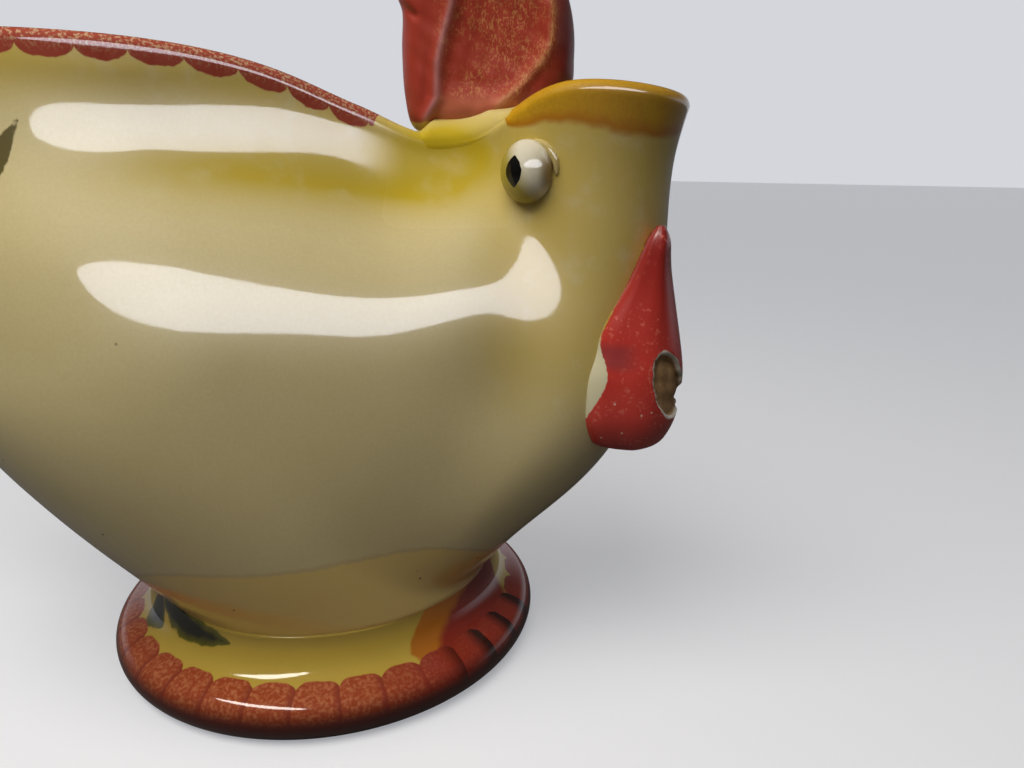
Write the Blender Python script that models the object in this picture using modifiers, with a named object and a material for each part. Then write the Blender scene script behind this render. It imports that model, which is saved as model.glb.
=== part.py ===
"""Rooster gravy boat in painted, glazed earthenware: metres, Z up, beak towards +X."""

import math

import bmesh
import bpy
import numpy as np
from mathutils import Matrix, Vector
from mathutils.bvhtree import BVHTree

# Clay and joints
WALL = 0.0052  # wall of the bowl and the throat
FLOOR = 0.0055  # clay under the bowl's inside
SLIP_GAP = 0.0003  # layer of slip between two luted pieces

# Foot: a cove spreads from the seat under the bowl to a rolled edge on the table
FOOT_HEIGHT = 0.0225
FOOT_RADIUS = 0.0626
FOOT_WALL = 0.0065
ROLL_RADIUS = 0.0058
ROLL_HEIGHT = 0.0054  # middle of the rolled edge above the table
ROLL_TURN = math.radians(64)  # how far the roll wraps over its top before the cove takes over
COVE_FALL = 0.0075  # how steeply the cove leaves the seat
COVE_SWEEP = 0.0052  # how steeply it arrives on the roll
SEAT_RADIUS = 0.0492
SEAT_COLLAR = 0.0040  # clay of the foot that laps up round the bowl's bottom

# Bowl: boat-shaped sections, round at the tail, tapering to a small nose; heights above the seat
FLANK_HEIGHT = 0.032
FLANK_TAIL = 0.0805  # behind the foot's axis
FLANK_HALF_WIDTH = 0.0610
FLANK_SETBACK = 0.0130  # widest place behind the foot's axis
FLANK_FRONT = 0.0700  # nose ahead of the foot's axis
FLANK_NOSE_RADIUS = 0.0360
BELLY_HEIGHT = 0.063
BELLY_TAIL = 0.0960
BELLY_HALF_WIDTH = 0.0665
BELLY_SETBACK = 0.0330
BELLY_FRONT = 0.0820
BELLY_NOSE_RADIUS = 0.0270
MOUTH_HEIGHT = 0.1345  # level at which the rim and the lip are drawn before their sheer
RIM_TAIL = 0.0960
RIM_HALF_WIDTH = 0.0540
RIM_SETBACK = 0.0560
RIM_FRONT = 0.0360
RIM_NOSE_RADIUS = 0.0150
SWEEP = (
    # share of the way up from belly to mouth; shares of the way in of the sides, the nose and the waist
    (0.000, 0.000, 0.000, 0.00),
    (0.168, 0.055, 0.100, 0.00),
    (0.294, 0.165, 0.220, 0.02),
    (0.406, 0.300, 0.380, 0.16),
    (0.517, 0.460, 0.550, 0.37),
    (0.629, 0.645, 0.720, 0.59),
    (0.741, 0.820, 0.860, 0.80),
    (0.867, 0.945, 0.955, 0.94),
    (1.000, 1.000, 1.000, 1.00),
)

# Throat: round sections, heights above the seat
ROOT_X = 0.0216
ROOT_RADIUS = 0.0148
BREAST_HEIGHT = 0.028
BREAST_X = 0.0498
BREAST_RADIUS = 0.0262
THROAT_HEIGHT = 0.058
THROAT_X = 0.0675
THROAT_RADIUS = 0.0252
NECK_HEIGHT = 0.098
NECK_X = 0.0742
NECK_RADIUS = 0.0225
FLARE_HEIGHT = 0.119
FLARE_RADIUS = 0.0227
LIP_X = 0.0756
LIP_RADIUS = 0.0255

# Waist between the bowl's opening and the mouth
WAIST_X = 0.0405
WAIST_HALF_LENGTH = 0.0200
WAIST_HALF_WIDTH = 0.0105
WAIST_SPREAD = 0.0290  # its half width down at the belly
BLEND = 0.015  # width of the soft turn where bowl, waist and throat meet

# Sheer of the top edge: places behind the front of the bowl's rim or behind the lip's axis, with
# how far the top of the rounded edge lies over or under the mouth's level there
TAIL_RISE = 0.0085
SIDE_SETBACK = 0.0685
SIDE_RISE = 0.0055
QUARTER_SETBACK = 0.0510
QUARTER_RISE = 0.0031
BOW_SETBACK = 0.0320
BOW_DROP = 0.0027
NOTCH_SETBACK = 0.0160
NOTCH_DROP = 0.0097
WAIST_DROP = 0.0121
LIP_END_SETBACK = 0.0235
LIP_END_DROP = 0.0085
LIP_RAMP_SETBACK = 0.0156
LIP_RAMP_DROP = 0.0035
LIP_SHOULDER_SETBACK = 0.0086
LIP_SHOULDER_DROP = 0.0007
LIP_FRONT_DROP = 0.0021
SHEER_START = 0.082  # level below which the rings stay flat
TAIL_TOP = MOUTH_HEIGHT + TAIL_RISE
WAIST_TOP = MOUTH_HEIGHT - WAIST_DROP
RIM_START = MOUTH_HEIGHT - WALL / 2  # level where the wall turns over

# Joints in the clay
NECK_JOINT_X = 0.0285  # where the leaning joint meets the waist's top
NECK_JOINT_LEAN = math.radians(35)
LIP_BAND = 0.0110  # height of the lip's coil at the mouth
LIP_END_X = 0.0540

# Crown and comb
CROWN_HALF_LENGTH = 0.0145
CROWN_HALF_WIDTH = 0.0145
CROWN_HALF_HEIGHT = 0.0085
COMB_RISE = 0.0490  # tip of the tallest lobe above the waist's top
COMB_SPREAD = 0.0360  # from the rear tip to the front tip
COMB_REAR_SHARE = 0.33  # part of the spread that lies behind the waist's middle
COMB_THICKNESS = 0.0195
COMB_DISH = 0.0038  # depth of the hollow in each face
DISH_HALF_LENGTH = 0.0122
DISH_HALF_HEIGHT = 0.0166
DISH_AHEAD = 0.0079  # middle of the hollow from the waist's middle
DISH_RISE = 0.0255

# Face
EYE_DROP = 0.0209  # middle of the eye under the level of the mouth
EYE_HEIGHT = MOUTH_HEIGHT - EYE_DROP
EYE_BEARING = math.radians(36)  # behind square to the side
EYE_RADIUS = 0.0076
EYE_BULGE = 0.0054
LID_RADIUS = 0.0015
LID_REAR = math.radians(118)  # ends of the lid's arc, round from the beak's side over the top
LID_FRONT = math.radians(-52)
WATTLE_DROP = 0.0335  # root of the wattle under the level of the mouth
WATTLE_TOP = MOUTH_HEIGHT - WATTLE_DROP
WATTLE_BEARING = math.radians(32)  # off the front of the throat
WATTLE_LENGTH = 0.0600
WATTLE_WIDTH = 0.0285
WATTLE_THICKNESS = 0.0210
WATTLE_TAPER = 0.30  # share of the full section that is left at the top
WATTLE_BULGE = 0.0030  # outward bow of its middle
WATTLE_LEAN = math.radians(5.5)

# Tail handle
HANDLE_REACH = 0.0400  # outside of the loop beyond the bowl's tail
HANDLE_RISE = 0.0110  # top of the loop's centre line above the tail of the rim
HANDLE_DROP = 0.0760  # lower joint below the upper one
HANDLE_RADIUS = 0.0060
HANDLE_ASPECT = 1.45  # section's width over its thickness

BOX = 0.4  # half-spaces for the joints
FAN_RAYS = 10  # points round each end of an outline
SIDE_RAYS = 12  # points along each side between the ends

for old in list(bpy.data.objects):
    bpy.data.objects.remove(old)
pieces = bpy.data.collections.new("rooster_gravy_boat")
helpers = bpy.data.collections.new("cutters")
bpy.context.scene.collection.children.link(pieces)
bpy.context.scene.collection.children.link(helpers)

SEAT_ROW = (0.0, SEAT_RADIUS, SEAT_RADIUS, 0.0, SEAT_RADIUS, SEAT_RADIUS * 0.8, WAIST_SPREAD)
FLANK_ROW = (
    FLANK_HEIGHT, FLANK_TAIL, FLANK_HALF_WIDTH, FLANK_SETBACK, FLANK_FRONT, FLANK_NOSE_RADIUS, WAIST_SPREAD
)
BELLY_ROW = np.array((
    BELLY_HEIGHT, BELLY_TAIL, BELLY_HALF_WIDTH, BELLY_SETBACK, BELLY_FRONT, BELLY_NOSE_RADIUS, WAIST_SPREAD
))
RIM_ROW = np.array((
    MOUTH_HEIGHT, RIM_TAIL, RIM_HALF_WIDTH, RIM_SETBACK, RIM_FRONT, RIM_NOSE_RADIUS, WAIST_HALF_WIDTH
))
BOWL_ROWS = np.array([SEAT_ROW, FLANK_ROW] + [
    BELLY_ROW + (RIM_ROW - BELLY_ROW) * (up, side, side, side, nose, nose, waist)
    for up, side, nose, waist in SWEEP
])
THROAT_ROWS = np.array([
    (0.0, ROOT_X, ROOT_RADIUS),
    (BREAST_HEIGHT, BREAST_X, BREAST_RADIUS),
    (THROAT_HEIGHT, THROAT_X, THROAT_RADIUS),
    (NECK_HEIGHT, NECK_X, NECK_RADIUS),
    (FLARE_HEIGHT, (NECK_X + LIP_X) / 2, FLARE_RADIUS),
    (MOUTH_HEIGHT, LIP_X, LIP_RADIUS),
])
SHEER_ROWS = np.array([
    (-RIM_TAIL, TAIL_TOP),
    (RIM_FRONT - SIDE_SETBACK, MOUTH_HEIGHT + SIDE_RISE),
    (RIM_FRONT - QUARTER_SETBACK, MOUTH_HEIGHT + QUARTER_RISE),
    (RIM_FRONT - BOW_SETBACK, MOUTH_HEIGHT - BOW_DROP),
    (RIM_FRONT - NOTCH_SETBACK, MOUTH_HEIGHT - NOTCH_DROP),
    (WAIST_X, WAIST_TOP),
    (LIP_X - LIP_END_SETBACK, MOUTH_HEIGHT - LIP_END_DROP),
    (LIP_X - LIP_RAMP_SETBACK, MOUTH_HEIGHT - LIP_RAMP_DROP),
    (LIP_X - LIP_SHOULDER_SETBACK, MOUTH_HEIGHT - LIP_SHOULDER_DROP),
    (LIP_X, MOUTH_HEIGHT),
    (LIP_X + LIP_RADIUS, MOUTH_HEIGHT - LIP_FRONT_DROP),
])


def through(rows, column, at):
    """Smooth curve through the rows, read at one or many places."""
    x, y = rows[:, 0], rows[:, column]
    step = np.diff(x)
    rise = np.diff(y) / step
    slope = np.empty_like(y)
    slope[1:-1] = (rise[:-1] * step[1:] + rise[1:] * step[:-1]) / (step[1:] + step[:-1])
    slope[0] = 1.5 * rise[0] - 0.5 * slope[1]
    slope[-1] = 1.5 * rise[-1] - 0.5 * slope[-2]
    at = np.clip(at, x[0], x[-1])
    i = np.clip(np.searchsorted(x, at) - 1, 0, len(x) - 2)
    t = (at - x[i]) / step[i]
    low = y[i] * (1 + 2 * t) * (1 - t) ** 2 + slope[i] * step[i] * t * (1 - t) ** 2
    return low + y[i + 1] * t * t * (3 - 2 * t) + slope[i + 1] * step[i] * t * t * (t - 1)


def oval(x, y, a, b):
    """Distance from an oval of half-axes a and b, negative inside."""
    ring = np.sqrt((x / a) ** 2 + (y / b) ** 2) + 1e-9
    grade = np.sqrt((x / a**2) ** 2 + (y / b**2) ** 2) + 1e-6
    return ring * (ring - 1) / grade


def soft_min(a, b):
    turn = np.maximum(BLEND - np.abs(a - b), 0) / BLEND
    return np.minimum(a, b) - turn * turn * BLEND / 4


def boat(x, y, tail, half_width, setback, front, nose):
    """Distance from a boat-shaped outline: half an oval behind, straight sides to a round nose ahead."""
    x, y = x + setback, np.abs(y)
    length = front - nose + setback
    lean = (half_width - nose) / length
    level = math.sqrt(1 - lean * lean)
    along = level * x - lean * y
    stem = np.where(along > level * length, np.hypot(x - length, y) - nose, level * y + lean * x - half_width)
    ahead_of_widest = np.where(along < 0, np.hypot(x, y) - half_width, stem)
    return np.where(x < 0, oval(x, y, tail - setback, half_width), ahead_of_widest)


def section(x, y, height):
    """Distance from the outside of the form at one height, negative inside."""
    *bowl_sizes, waist_half = (through(BOWL_ROWS, c, height) for c in range(1, 7))
    bowl = boat(x, y, *bowl_sizes)
    waist = oval(x - WAIST_X, y, WAIST_HALF_LENGTH, waist_half) + max(BELLY_HEIGHT - height, 0.0)
    radius = through(THROAT_ROWS, 2, height)
    throat = oval(x - through(THROAT_ROWS, 1, height), y, radius, radius)
    return soft_min(soft_min(bowl, waist), throat)


def outline(height, inset):
    """Closed outline at one height: from the tail along the right side to the front, and back."""
    back = -through(BOWL_ROWS, 3, height)
    front = through(THROAT_ROWS, 1, height)
    rear_fan = np.linspace(math.pi, math.pi / 2, FAN_RAYS + 1)
    angle = np.concatenate([rear_fan, np.full(SIDE_RAYS - 1, math.pi / 2), math.pi - rear_fan[::-1]])
    along = np.arange(1, SIDE_RAYS) / SIDE_RAYS
    run = np.concatenate([np.zeros(FAN_RAYS + 1), along, np.ones(FAN_RAYS + 1)])
    start = back + (front - back) * run
    dx, dy = np.cos(angle), -np.sin(angle)
    near, far = np.zeros_like(start), np.full_like(start, BOX / 2)
    for _ in range(36):
        mid = (near + far) / 2
        inside = section(start + mid * dx, mid * dy, height) < -inset
        near, far = np.where(inside, mid, near), np.where(inside, far, mid)
    x, y = start + near * dx, near * dy
    y[[0, -1]] = 0.0
    return np.concatenate([x, x[-2:0:-1]]), np.concatenate([y, -y[-2:0:-1]])


def loop(height, inset, share=1.0, lift=0.0):
    """One ring of the loft, with the sheer of the top edge worked in."""
    x, y = outline(height, inset)
    t = np.clip((height - SHEER_START) / (MOUTH_HEIGHT - SHEER_START), 0, 1)
    sheer = (through(SHEER_ROWS, 1, x) - MOUTH_HEIGHT) * t * t * (3 - 2 * t)
    return np.stack([x * share, y * share, FOOT_HEIGHT + height + sheer + lift], axis=1)


def outer_loops(grow):
    """Rings up the outside, from under the foot's seat to the start of the rounded rim."""
    dome = ((0.55, 1.0), (0.80, 1.0), (0.94, 0.72))  # shares of the seat radius and of the floor below it
    under = [loop(0.0, -grow, share, -FLOOR * drop - grow) for share, drop in dome]
    return under + [loop(h, -grow) for h in np.linspace(0.0, RIM_START, 16)]


def shell_loops(grow):
    """Outside, rounded rim, inside and floor, everything grown by one amount."""
    half = WALL / 2 + grow
    rim = [
        loop(RIM_START, WALL / 2 - half * math.cos(a), 1.0, half * math.sin(a))
        for a in np.radians((36, 72, 108, 144))
    ]
    inner = [loop(h, WALL + grow) for h in np.linspace(RIM_START, FLOOR * 1.5, 13)]
    hollow = ((0.96, 0.0), (0.84, 0.55), (0.55, 0.73))  # shares of the floor radius and of its thickness
    floor = [loop(FLOOR * 0.73, WALL + grow, share, -FLOOR * sunk - grow) for share, sunk in hollow]
    return outer_loops(grow) + rim + inner + floor


def new_object(name, bm, home=None):
    bmesh.ops.recalc_face_normals(bm, faces=bm.faces)
    mesh = bpy.data.meshes.new(name)
    bm.to_mesh(mesh)
    bm.free()
    obj = bpy.data.objects.new(name, mesh)
    (home or pieces).objects.link(obj)
    if home is helpers:
        obj.hide_render = True
        obj.display_type = "WIRE"
    return obj


def skin(loops):
    """Closed solid through the rings; the first and last are closed across from side to side."""
    bm = bmesh.new()
    rings = [[bm.verts.new(p) for p in ring] for ring in loops]
    count = len(rings[0])
    for a, b in zip(rings, rings[1:]):
        for i in range(count):
            j = (i + 1) % count
            bm.faces.new((a[i], a[j], b[j], b[i]))
    for ring in (rings[0], rings[-1]):
        for i in range(count // 2):
            corners = (ring[i], ring[i + 1], ring[-i - 1], ring[-i])
            bm.faces.new(list(dict.fromkeys(corners)))
    bmesh.ops.triangulate(bm, faces=bm.faces, quad_method="SHORT_EDGE")
    return bm


def ball(radii, segments=20, rings=12):
    bm = bmesh.new()
    bmesh.ops.create_uvsphere(bm, u_segments=segments, v_segments=rings, radius=1.0)
    bmesh.ops.scale(bm, vec=radii, verts=bm.verts)
    return bm


def tube(points, radii, depth, sides, steps):
    """Rod of clay along a smooth path, its ends closed."""
    data = bpy.data.curves.new("rod", "CURVE")
    data.dimensions = "3D"
    data.bevel_depth = depth
    data.bevel_resolution = sides
    data.resolution_u = steps
    data.use_fill_caps = True
    spline = data.splines.new("BEZIER")
    spline.bezier_points.add(len(points) - 1)
    for knot, place, radius in zip(spline.bezier_points, points, radii):
        knot.co = place
        knot.radius = radius
        knot.handle_left_type = knot.handle_right_type = "AUTO"
    rod = bpy.data.objects.new("rod", data)
    pieces.objects.link(rod)
    bpy.context.view_layer.update()
    mesh = bpy.data.meshes.new_from_object(rod.evaluated_get(bpy.context.evaluated_depsgraph_get()))
    bpy.data.objects.remove(rod)
    bm = bmesh.new()
    bm.from_mesh(mesh)
    bmesh.ops.remove_doubles(bm, verts=bm.verts, dist=1e-6)
    return bm


def boolean(obj, other, operation="DIFFERENCE"):
    cut = obj.modifiers.new(operation.lower(), "BOOLEAN")
    cut.operation = operation
    cut.solver = "EXACT"
    cut.object = other


def half_space(name, corner, turn):
    """Block whose face passes through the corner; it fills the side that +X of the turn points to."""
    bm = bmesh.new()
    bmesh.ops.create_cube(bm, size=BOX)
    shift = Matrix.Translation(corner) @ turn @ Matrix.Translation((BOX / 2, 0, 0))
    bmesh.ops.transform(bm, matrix=shift, verts=bm.verts)
    return new_object(name, bm, helpers)


def glaze(obj, name, colour, roughness):
    material = bpy.data.materials.get(name) or bpy.data.materials.new(name)
    material.use_nodes = True
    shader = material.node_tree.nodes["Principled BSDF"]
    shader.inputs["Base Color"].default_value = (*colour, 1.0)
    shader.inputs["Roughness"].default_value = roughness
    shader.inputs["Metallic"].default_value = 0.0
    obj.data.materials.clear()
    obj.data.materials.append(material)


CREAM = ("glaze_cream", (0.62, 0.50, 0.24), 0.12)
AMBER = ("glaze_amber", (0.62, 0.29, 0.02), 0.12)
OCHRE = ("glaze_ochre", (0.56, 0.40, 0.09), 0.14)
RED = ("glaze_red", (0.42, 0.035, 0.025), 0.18)
WHITE = ("glaze_white", (0.74, 0.70, 0.55), 0.08)

# The form grown by the slip joint cuts a seat into each piece that is luted to its outside
form_bm = skin(outer_loops(SLIP_GAP))
form_tree = BVHTree.FromBMesh(form_bm)
grown_form = new_object("grown_form", form_bm, helpers)
grown_shell = new_object("grown_shell", skin(shell_loops(SLIP_GAP)), helpers)


def on_wall(height, bearing, side):
    """Place and outward direction on the throat's wall; the bearing runs from square aside to the front."""
    start = Vector((float(through(THROAT_ROWS, 1, height)), 0.0, FOOT_HEIGHT + height))
    way = Vector((math.sin(bearing), side * math.cos(bearing), 0.0))
    place, normal, _, _ = form_tree.ray_cast(start, way)
    return place, normal if normal.dot(way) > 0 else -normal


# Bowl, throat and lip are three lengths of one thin wall, parted at their slip joints
joint_place = Vector((NECK_JOINT_X, 0.0, FOOT_HEIGHT + WAIST_TOP))
joint_turn = Matrix.Rotation(-NECK_JOINT_LEAN, 4, "Y")
joint_way = joint_turn @ Vector((SLIP_GAP / 2, 0.0, 0.0))
about = Matrix.Rotation(math.pi, 4, "Z")
ahead = half_space("ahead_of_neck_joint", joint_place - joint_way, joint_turn)
behind = half_space("behind_neck_joint", joint_place + joint_way, joint_turn @ about)
lip_level = FOOT_HEIGHT + MOUTH_HEIGHT - LIP_BAND
downward = Matrix.Rotation(math.pi / 2, 4, "Y")
lip_room = half_space("lip_room", Vector((LIP_END_X - SLIP_GAP / 2, 0, lip_level)), Matrix.Identity(4))
for corner in lip_room.data.vertices:
    corner.co.z = lip_level - SLIP_GAP / 2 if corner.co.z < lip_level else lip_level + BOX
below_lip = half_space("below_lip", Vector((0, 0, lip_level + SLIP_GAP / 2)), downward)
behind_lip = half_space("behind_lip", Vector((LIP_END_X + SLIP_GAP / 2, 0, lip_level)), about)

body_bowl = new_object("body_bowl", skin(shell_loops(0.0)))
boolean(body_bowl, ahead)
glaze(body_bowl, *CREAM)

neck_spout = new_object("neck_spout", skin(shell_loops(0.0)))
boolean(neck_spout, behind)
boolean(neck_spout, lip_room)
glaze(neck_spout, *CREAM)

spout_lip = new_object("spout_lip", skin(shell_loops(0.0)))
boolean(spout_lip, below_lip)
boolean(spout_lip, behind_lip)
glaze(spout_lip, *AMBER)

# Foot: turned profile, hollow underneath, with a flat ring to stand on
roll_middle = FOOT_RADIUS - ROLL_RADIUS
table_angle = math.asin(ROLL_HEIGHT / ROLL_RADIUS)
roll = [
    (roll_middle + ROLL_RADIUS * math.cos(a), ROLL_HEIGHT + ROLL_RADIUS * math.sin(a))
    for a in np.linspace(ROLL_TURN, -table_angle, 9)
]
cove_knots = np.array([
    (SEAT_RADIUS, FOOT_HEIGHT),
    (SEAT_RADIUS + COVE_FALL / 6, FOOT_HEIGHT - COVE_FALL),
    (roll[0][0] - COVE_SWEEP / 2, roll[0][1] + COVE_SWEEP),
    (roll[0][0] - SLIP_GAP / 2, roll[0][1] + SLIP_GAP),
])
t = np.linspace(0, 1, 9)[:, None]
weights = np.hstack([(1 - t) ** 3, 3 * t * (1 - t) ** 2, 3 * t * t * (1 - t), t**3])
cove = [tuple(point) for point in weights @ cove_knots]
inner_low = roll_middle - FOOT_WALL
inner_high = SEAT_RADIUS - FOOT_WALL
shoulder_z = FOOT_HEIGHT - FLOOR * 1.6
inside = [(inner_low, 0.0), (inner_low, ROLL_HEIGHT / 2), (inner_high, shoulder_z)]
collar_z = FOOT_HEIGHT + SEAT_COLLAR
top = [(inner_high, collar_z), (SEAT_RADIUS - SEAT_COLLAR / 3, collar_z)]
profile = bmesh.new()
knots = [profile.verts.new((r, 0.0, z)) for r, z in top[1:] + cove + roll + inside + top[:1]]
for a, b in zip(knots, knots[1:] + knots[:1]):
    profile.edges.new((a, b))
pedestal_foot = new_object("pedestal_foot", profile)
turn = pedestal_foot.modifiers.new("turn", "SCREW")
turn.axis = "Z"
turn.angle = math.tau
turn.steps = turn.render_steps = 48
turn.use_merge_vertices = True
turn.merge_threshold = 0.0001
turn.use_normal_calculate = True
boolean(pedestal_foot, grown_form)
glaze(pedestal_foot, *OCHRE)

# Crown: a pad of clay across the waist, seated on and between its two walls
crown_place = Vector((WAIST_X, 0.0, FOOT_HEIGHT + WAIST_TOP + WALL / 4))
crown_size = Vector((CROWN_HALF_LENGTH, CROWN_HALF_WIDTH, CROWN_HALF_HEIGHT))
crown_bm = ball(crown_size)
bmesh.ops.translate(crown_bm, vec=crown_place, verts=crown_bm.verts)
crown_bridge = new_object("crown_bridge", crown_bm)
boolean(crown_bridge, grown_shell)
glaze(crown_bridge, *OCHRE)
grown_bm = ball(crown_size + Vector((SLIP_GAP, SLIP_GAP, SLIP_GAP)))
bmesh.ops.translate(grown_bm, vec=crown_place, verts=grown_bm.verts)
grown_crown = new_object("grown_crown", grown_bm, helpers)

# Comb: lobes pressed together into one fan; the end lobes stand proud of the ones between
COMB_LOBES = (
    # root along the waist, tip along the spread, tip's share of the rise, half width, share of thickness
    (-0.0030, 0.06, 0.64, 0.0090, 0.90),
    (-0.0020, 0.26, 0.98, 0.0115, 0.80),
    (0.0025, 0.66, 1.00, 0.0130, 0.80),
    (0.0055, 1.00, 0.86, 0.0125, 1.00),
)


def comb_lobe(row, name, home):
    root_x, spread, rise, half_width, share = row
    root = Vector((WAIST_X + root_x, 0.0, crown_place.z - CROWN_HALF_HEIGHT / 2))
    tip_x = WAIST_X + COMB_SPREAD * (spread - COMB_REAR_SHARE)
    axis = Vector((tip_x, 0.0, FOOT_HEIGHT + WAIST_TOP + COMB_RISE * rise)) - root
    bm = ball((half_width, COMB_THICKNESS / 2 * share, axis.length / 2), 18, 12)
    lean = Matrix.Rotation(math.atan2(axis.x, axis.z), 4, "Y")
    bmesh.ops.transform(bm, matrix=Matrix.Translation(root + axis / 2) @ lean, verts=bm.verts)
    return new_object(name, bm, home)


comb = comb_lobe(COMB_LOBES[0], "comb", pieces)
for number, row in enumerate(COMB_LOBES[1:]):
    boolean(comb, comb_lobe(row, f"comb_lobe_{number}", helpers), "UNION")
for number, side in enumerate((-1, 1)):
    dish_bm = ball((DISH_HALF_LENGTH, COMB_THICKNESS / 2, DISH_HALF_HEIGHT), 18, 12)
    dish_z = FOOT_HEIGHT + WAIST_TOP + DISH_RISE
    dish_place = Vector((WAIST_X + DISH_AHEAD, side * (COMB_THICKNESS - COMB_DISH), dish_z))
    bmesh.ops.translate(dish_bm, vec=dish_place, verts=dish_bm.verts)
    boolean(comb, new_object(f"comb_dish_{number}", dish_bm, helpers))
boolean(comb, grown_crown)
boolean(comb, grown_shell)
glaze(comb, *RED)

# Eyes, eyelids and wattles in pairs: -Y is the bird's right
for name, side in (("right", -1), ("left", 1)):
    place, normal = on_wall(EYE_HEIGHT, -EYE_BEARING, side)
    stand = normal.to_track_quat("Z", "X").to_matrix().to_4x4()
    eye_middle = place + normal * (EYE_BULGE / 4)
    eye_bm = ball((EYE_RADIUS, EYE_RADIUS, EYE_BULGE), 18, 12)
    bmesh.ops.transform(eye_bm, matrix=Matrix.Translation(eye_middle) @ stand, verts=eye_bm.verts)
    eye = new_object(f"eye_{name}", eye_bm)
    boolean(eye, grown_form)
    glaze(eye, *WHITE)

    grown_bm = ball((EYE_RADIUS + SLIP_GAP, EYE_RADIUS + SLIP_GAP, EYE_BULGE + SLIP_GAP), 18, 12)
    bmesh.ops.transform(grown_bm, matrix=Matrix.Translation(eye_middle) @ stand, verts=grown_bm.verts)
    grown_eye = new_object(f"grown_eye_{name}", grown_bm, helpers)
    up = Vector((0, 0, 1)) - normal * normal.z
    up.normalize()
    ahead_way = Vector((1, 0, 0)) - normal * normal.x
    ahead_way.normalize()
    ring = EYE_RADIUS + SLIP_GAP + LID_RADIUS / 2
    arc = []
    for angle in np.linspace(LID_REAR, LID_FRONT, 6):
        around = place + (up * math.sin(angle) + ahead_way * math.cos(angle)) * ring
        spot, facing, _, _ = form_tree.find_nearest(around)
        arc.append(spot + (facing if facing.dot(normal) > 0 else -facing) * LID_RADIUS / 3)
    lid = new_object(f"eyelid_{name}", tube(arc, (0.5, 0.9, 1.0, 1.0, 0.85, 0.5), LID_RADIUS, 2, 3))
    boolean(lid, grown_form)
    boolean(lid, grown_eye)
    glaze(lid, *CREAM)

    top_place, _ = on_wall(WATTLE_TOP, math.pi / 2 - WATTLE_BEARING, side)
    wattle_bm = ball((1.0, 1.0, 1.0), 20, 16)
    for corner in wattle_bm.verts:
        down = (1 - corner.co.z) / 2
        fullness = WATTLE_TAPER + (1.40 - WATTLE_TAPER) * down
        corner.co.x *= WATTLE_WIDTH / 2 * fullness
        corner.co.y *= WATTLE_THICKNESS / 2 * fullness
        corner.co.y += side * WATTLE_BULGE * math.sin(math.pi * down)
        corner.co.z = -down * WATTLE_LENGTH
    hang = Matrix.Rotation(WATTLE_LEAN, 4, "Y")
    bmesh.ops.transform(wattle_bm, matrix=Matrix.Translation(top_place) @ hang, verts=wattle_bm.verts)
    wattle = new_object(f"wattle_{name}", wattle_bm)
    boolean(wattle, grown_form)
    glaze(wattle, *RED)

# Tail handle: a pulled loop from the tail of the rim to the back of the belly
upper = Vector((-RIM_TAIL + WALL / 2, 0.0, FOOT_HEIGHT + TAIL_TOP - HANDLE_RADIUS * 1.5))
lower = Vector((-BELLY_TAIL + WALL, 0.0, upper.z - HANDLE_DROP))
outer_x = -BELLY_TAIL - HANDLE_REACH + HANDLE_RADIUS
crest_z = FOOT_HEIGHT + TAIL_TOP + HANDLE_RISE
HANDLE_BENDS = (
    # share of the reach, share of the drop below the crest, share of the radius
    (0.42, 0.0, 1.12),
    (0.88, 0.14, 1.05),
    (1.00, 0.42, 1.0),
    (0.74, 1.04, 0.95),
)
path = [upper]
for out, fall, _ in HANDLE_BENDS:
    path.append(Vector((upper.x + (outer_x - upper.x) * out, 0.0, crest_z - HANDLE_DROP * fall)))
path.append(lower)
girths = [1.1] + [girth for _, _, girth in HANDLE_BENDS] + [1.0]
handle_bm = tube(path, girths, HANDLE_RADIUS, 3, 7)
bmesh.ops.scale(handle_bm, vec=(1, HANDLE_ASPECT, 1), verts=handle_bm.verts)
tail_handle = new_object("tail_handle", handle_bm)
boolean(tail_handle, grown_form)
boolean(tail_handle, grown_shell)
glaze(tail_handle, *CREAM)

# The frame's origin stands under the middle of the whole boat
bpy.context.view_layer.update()
graph = bpy.context.evaluated_depsgraph_get()
reach = [v.co.x for part in pieces.objects for v in part.evaluated_get(graph).data.vertices]
base = bpy.data.objects.new("frame", None)
helpers.objects.link(base)
for part in list(pieces.objects) + [h for h in helpers.objects if h is not base]:
    part.parent = base
base.location.x = -(max(reach) + min(reach)) / 2
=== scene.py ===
"""Rooster gravy boat in brush-painted, glazed earthenware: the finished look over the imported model."""

import math

import bmesh
import bpy
import numpy as np
from mathutils import Matrix, Vector
from mathutils.bvhtree import BVHTree


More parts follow.
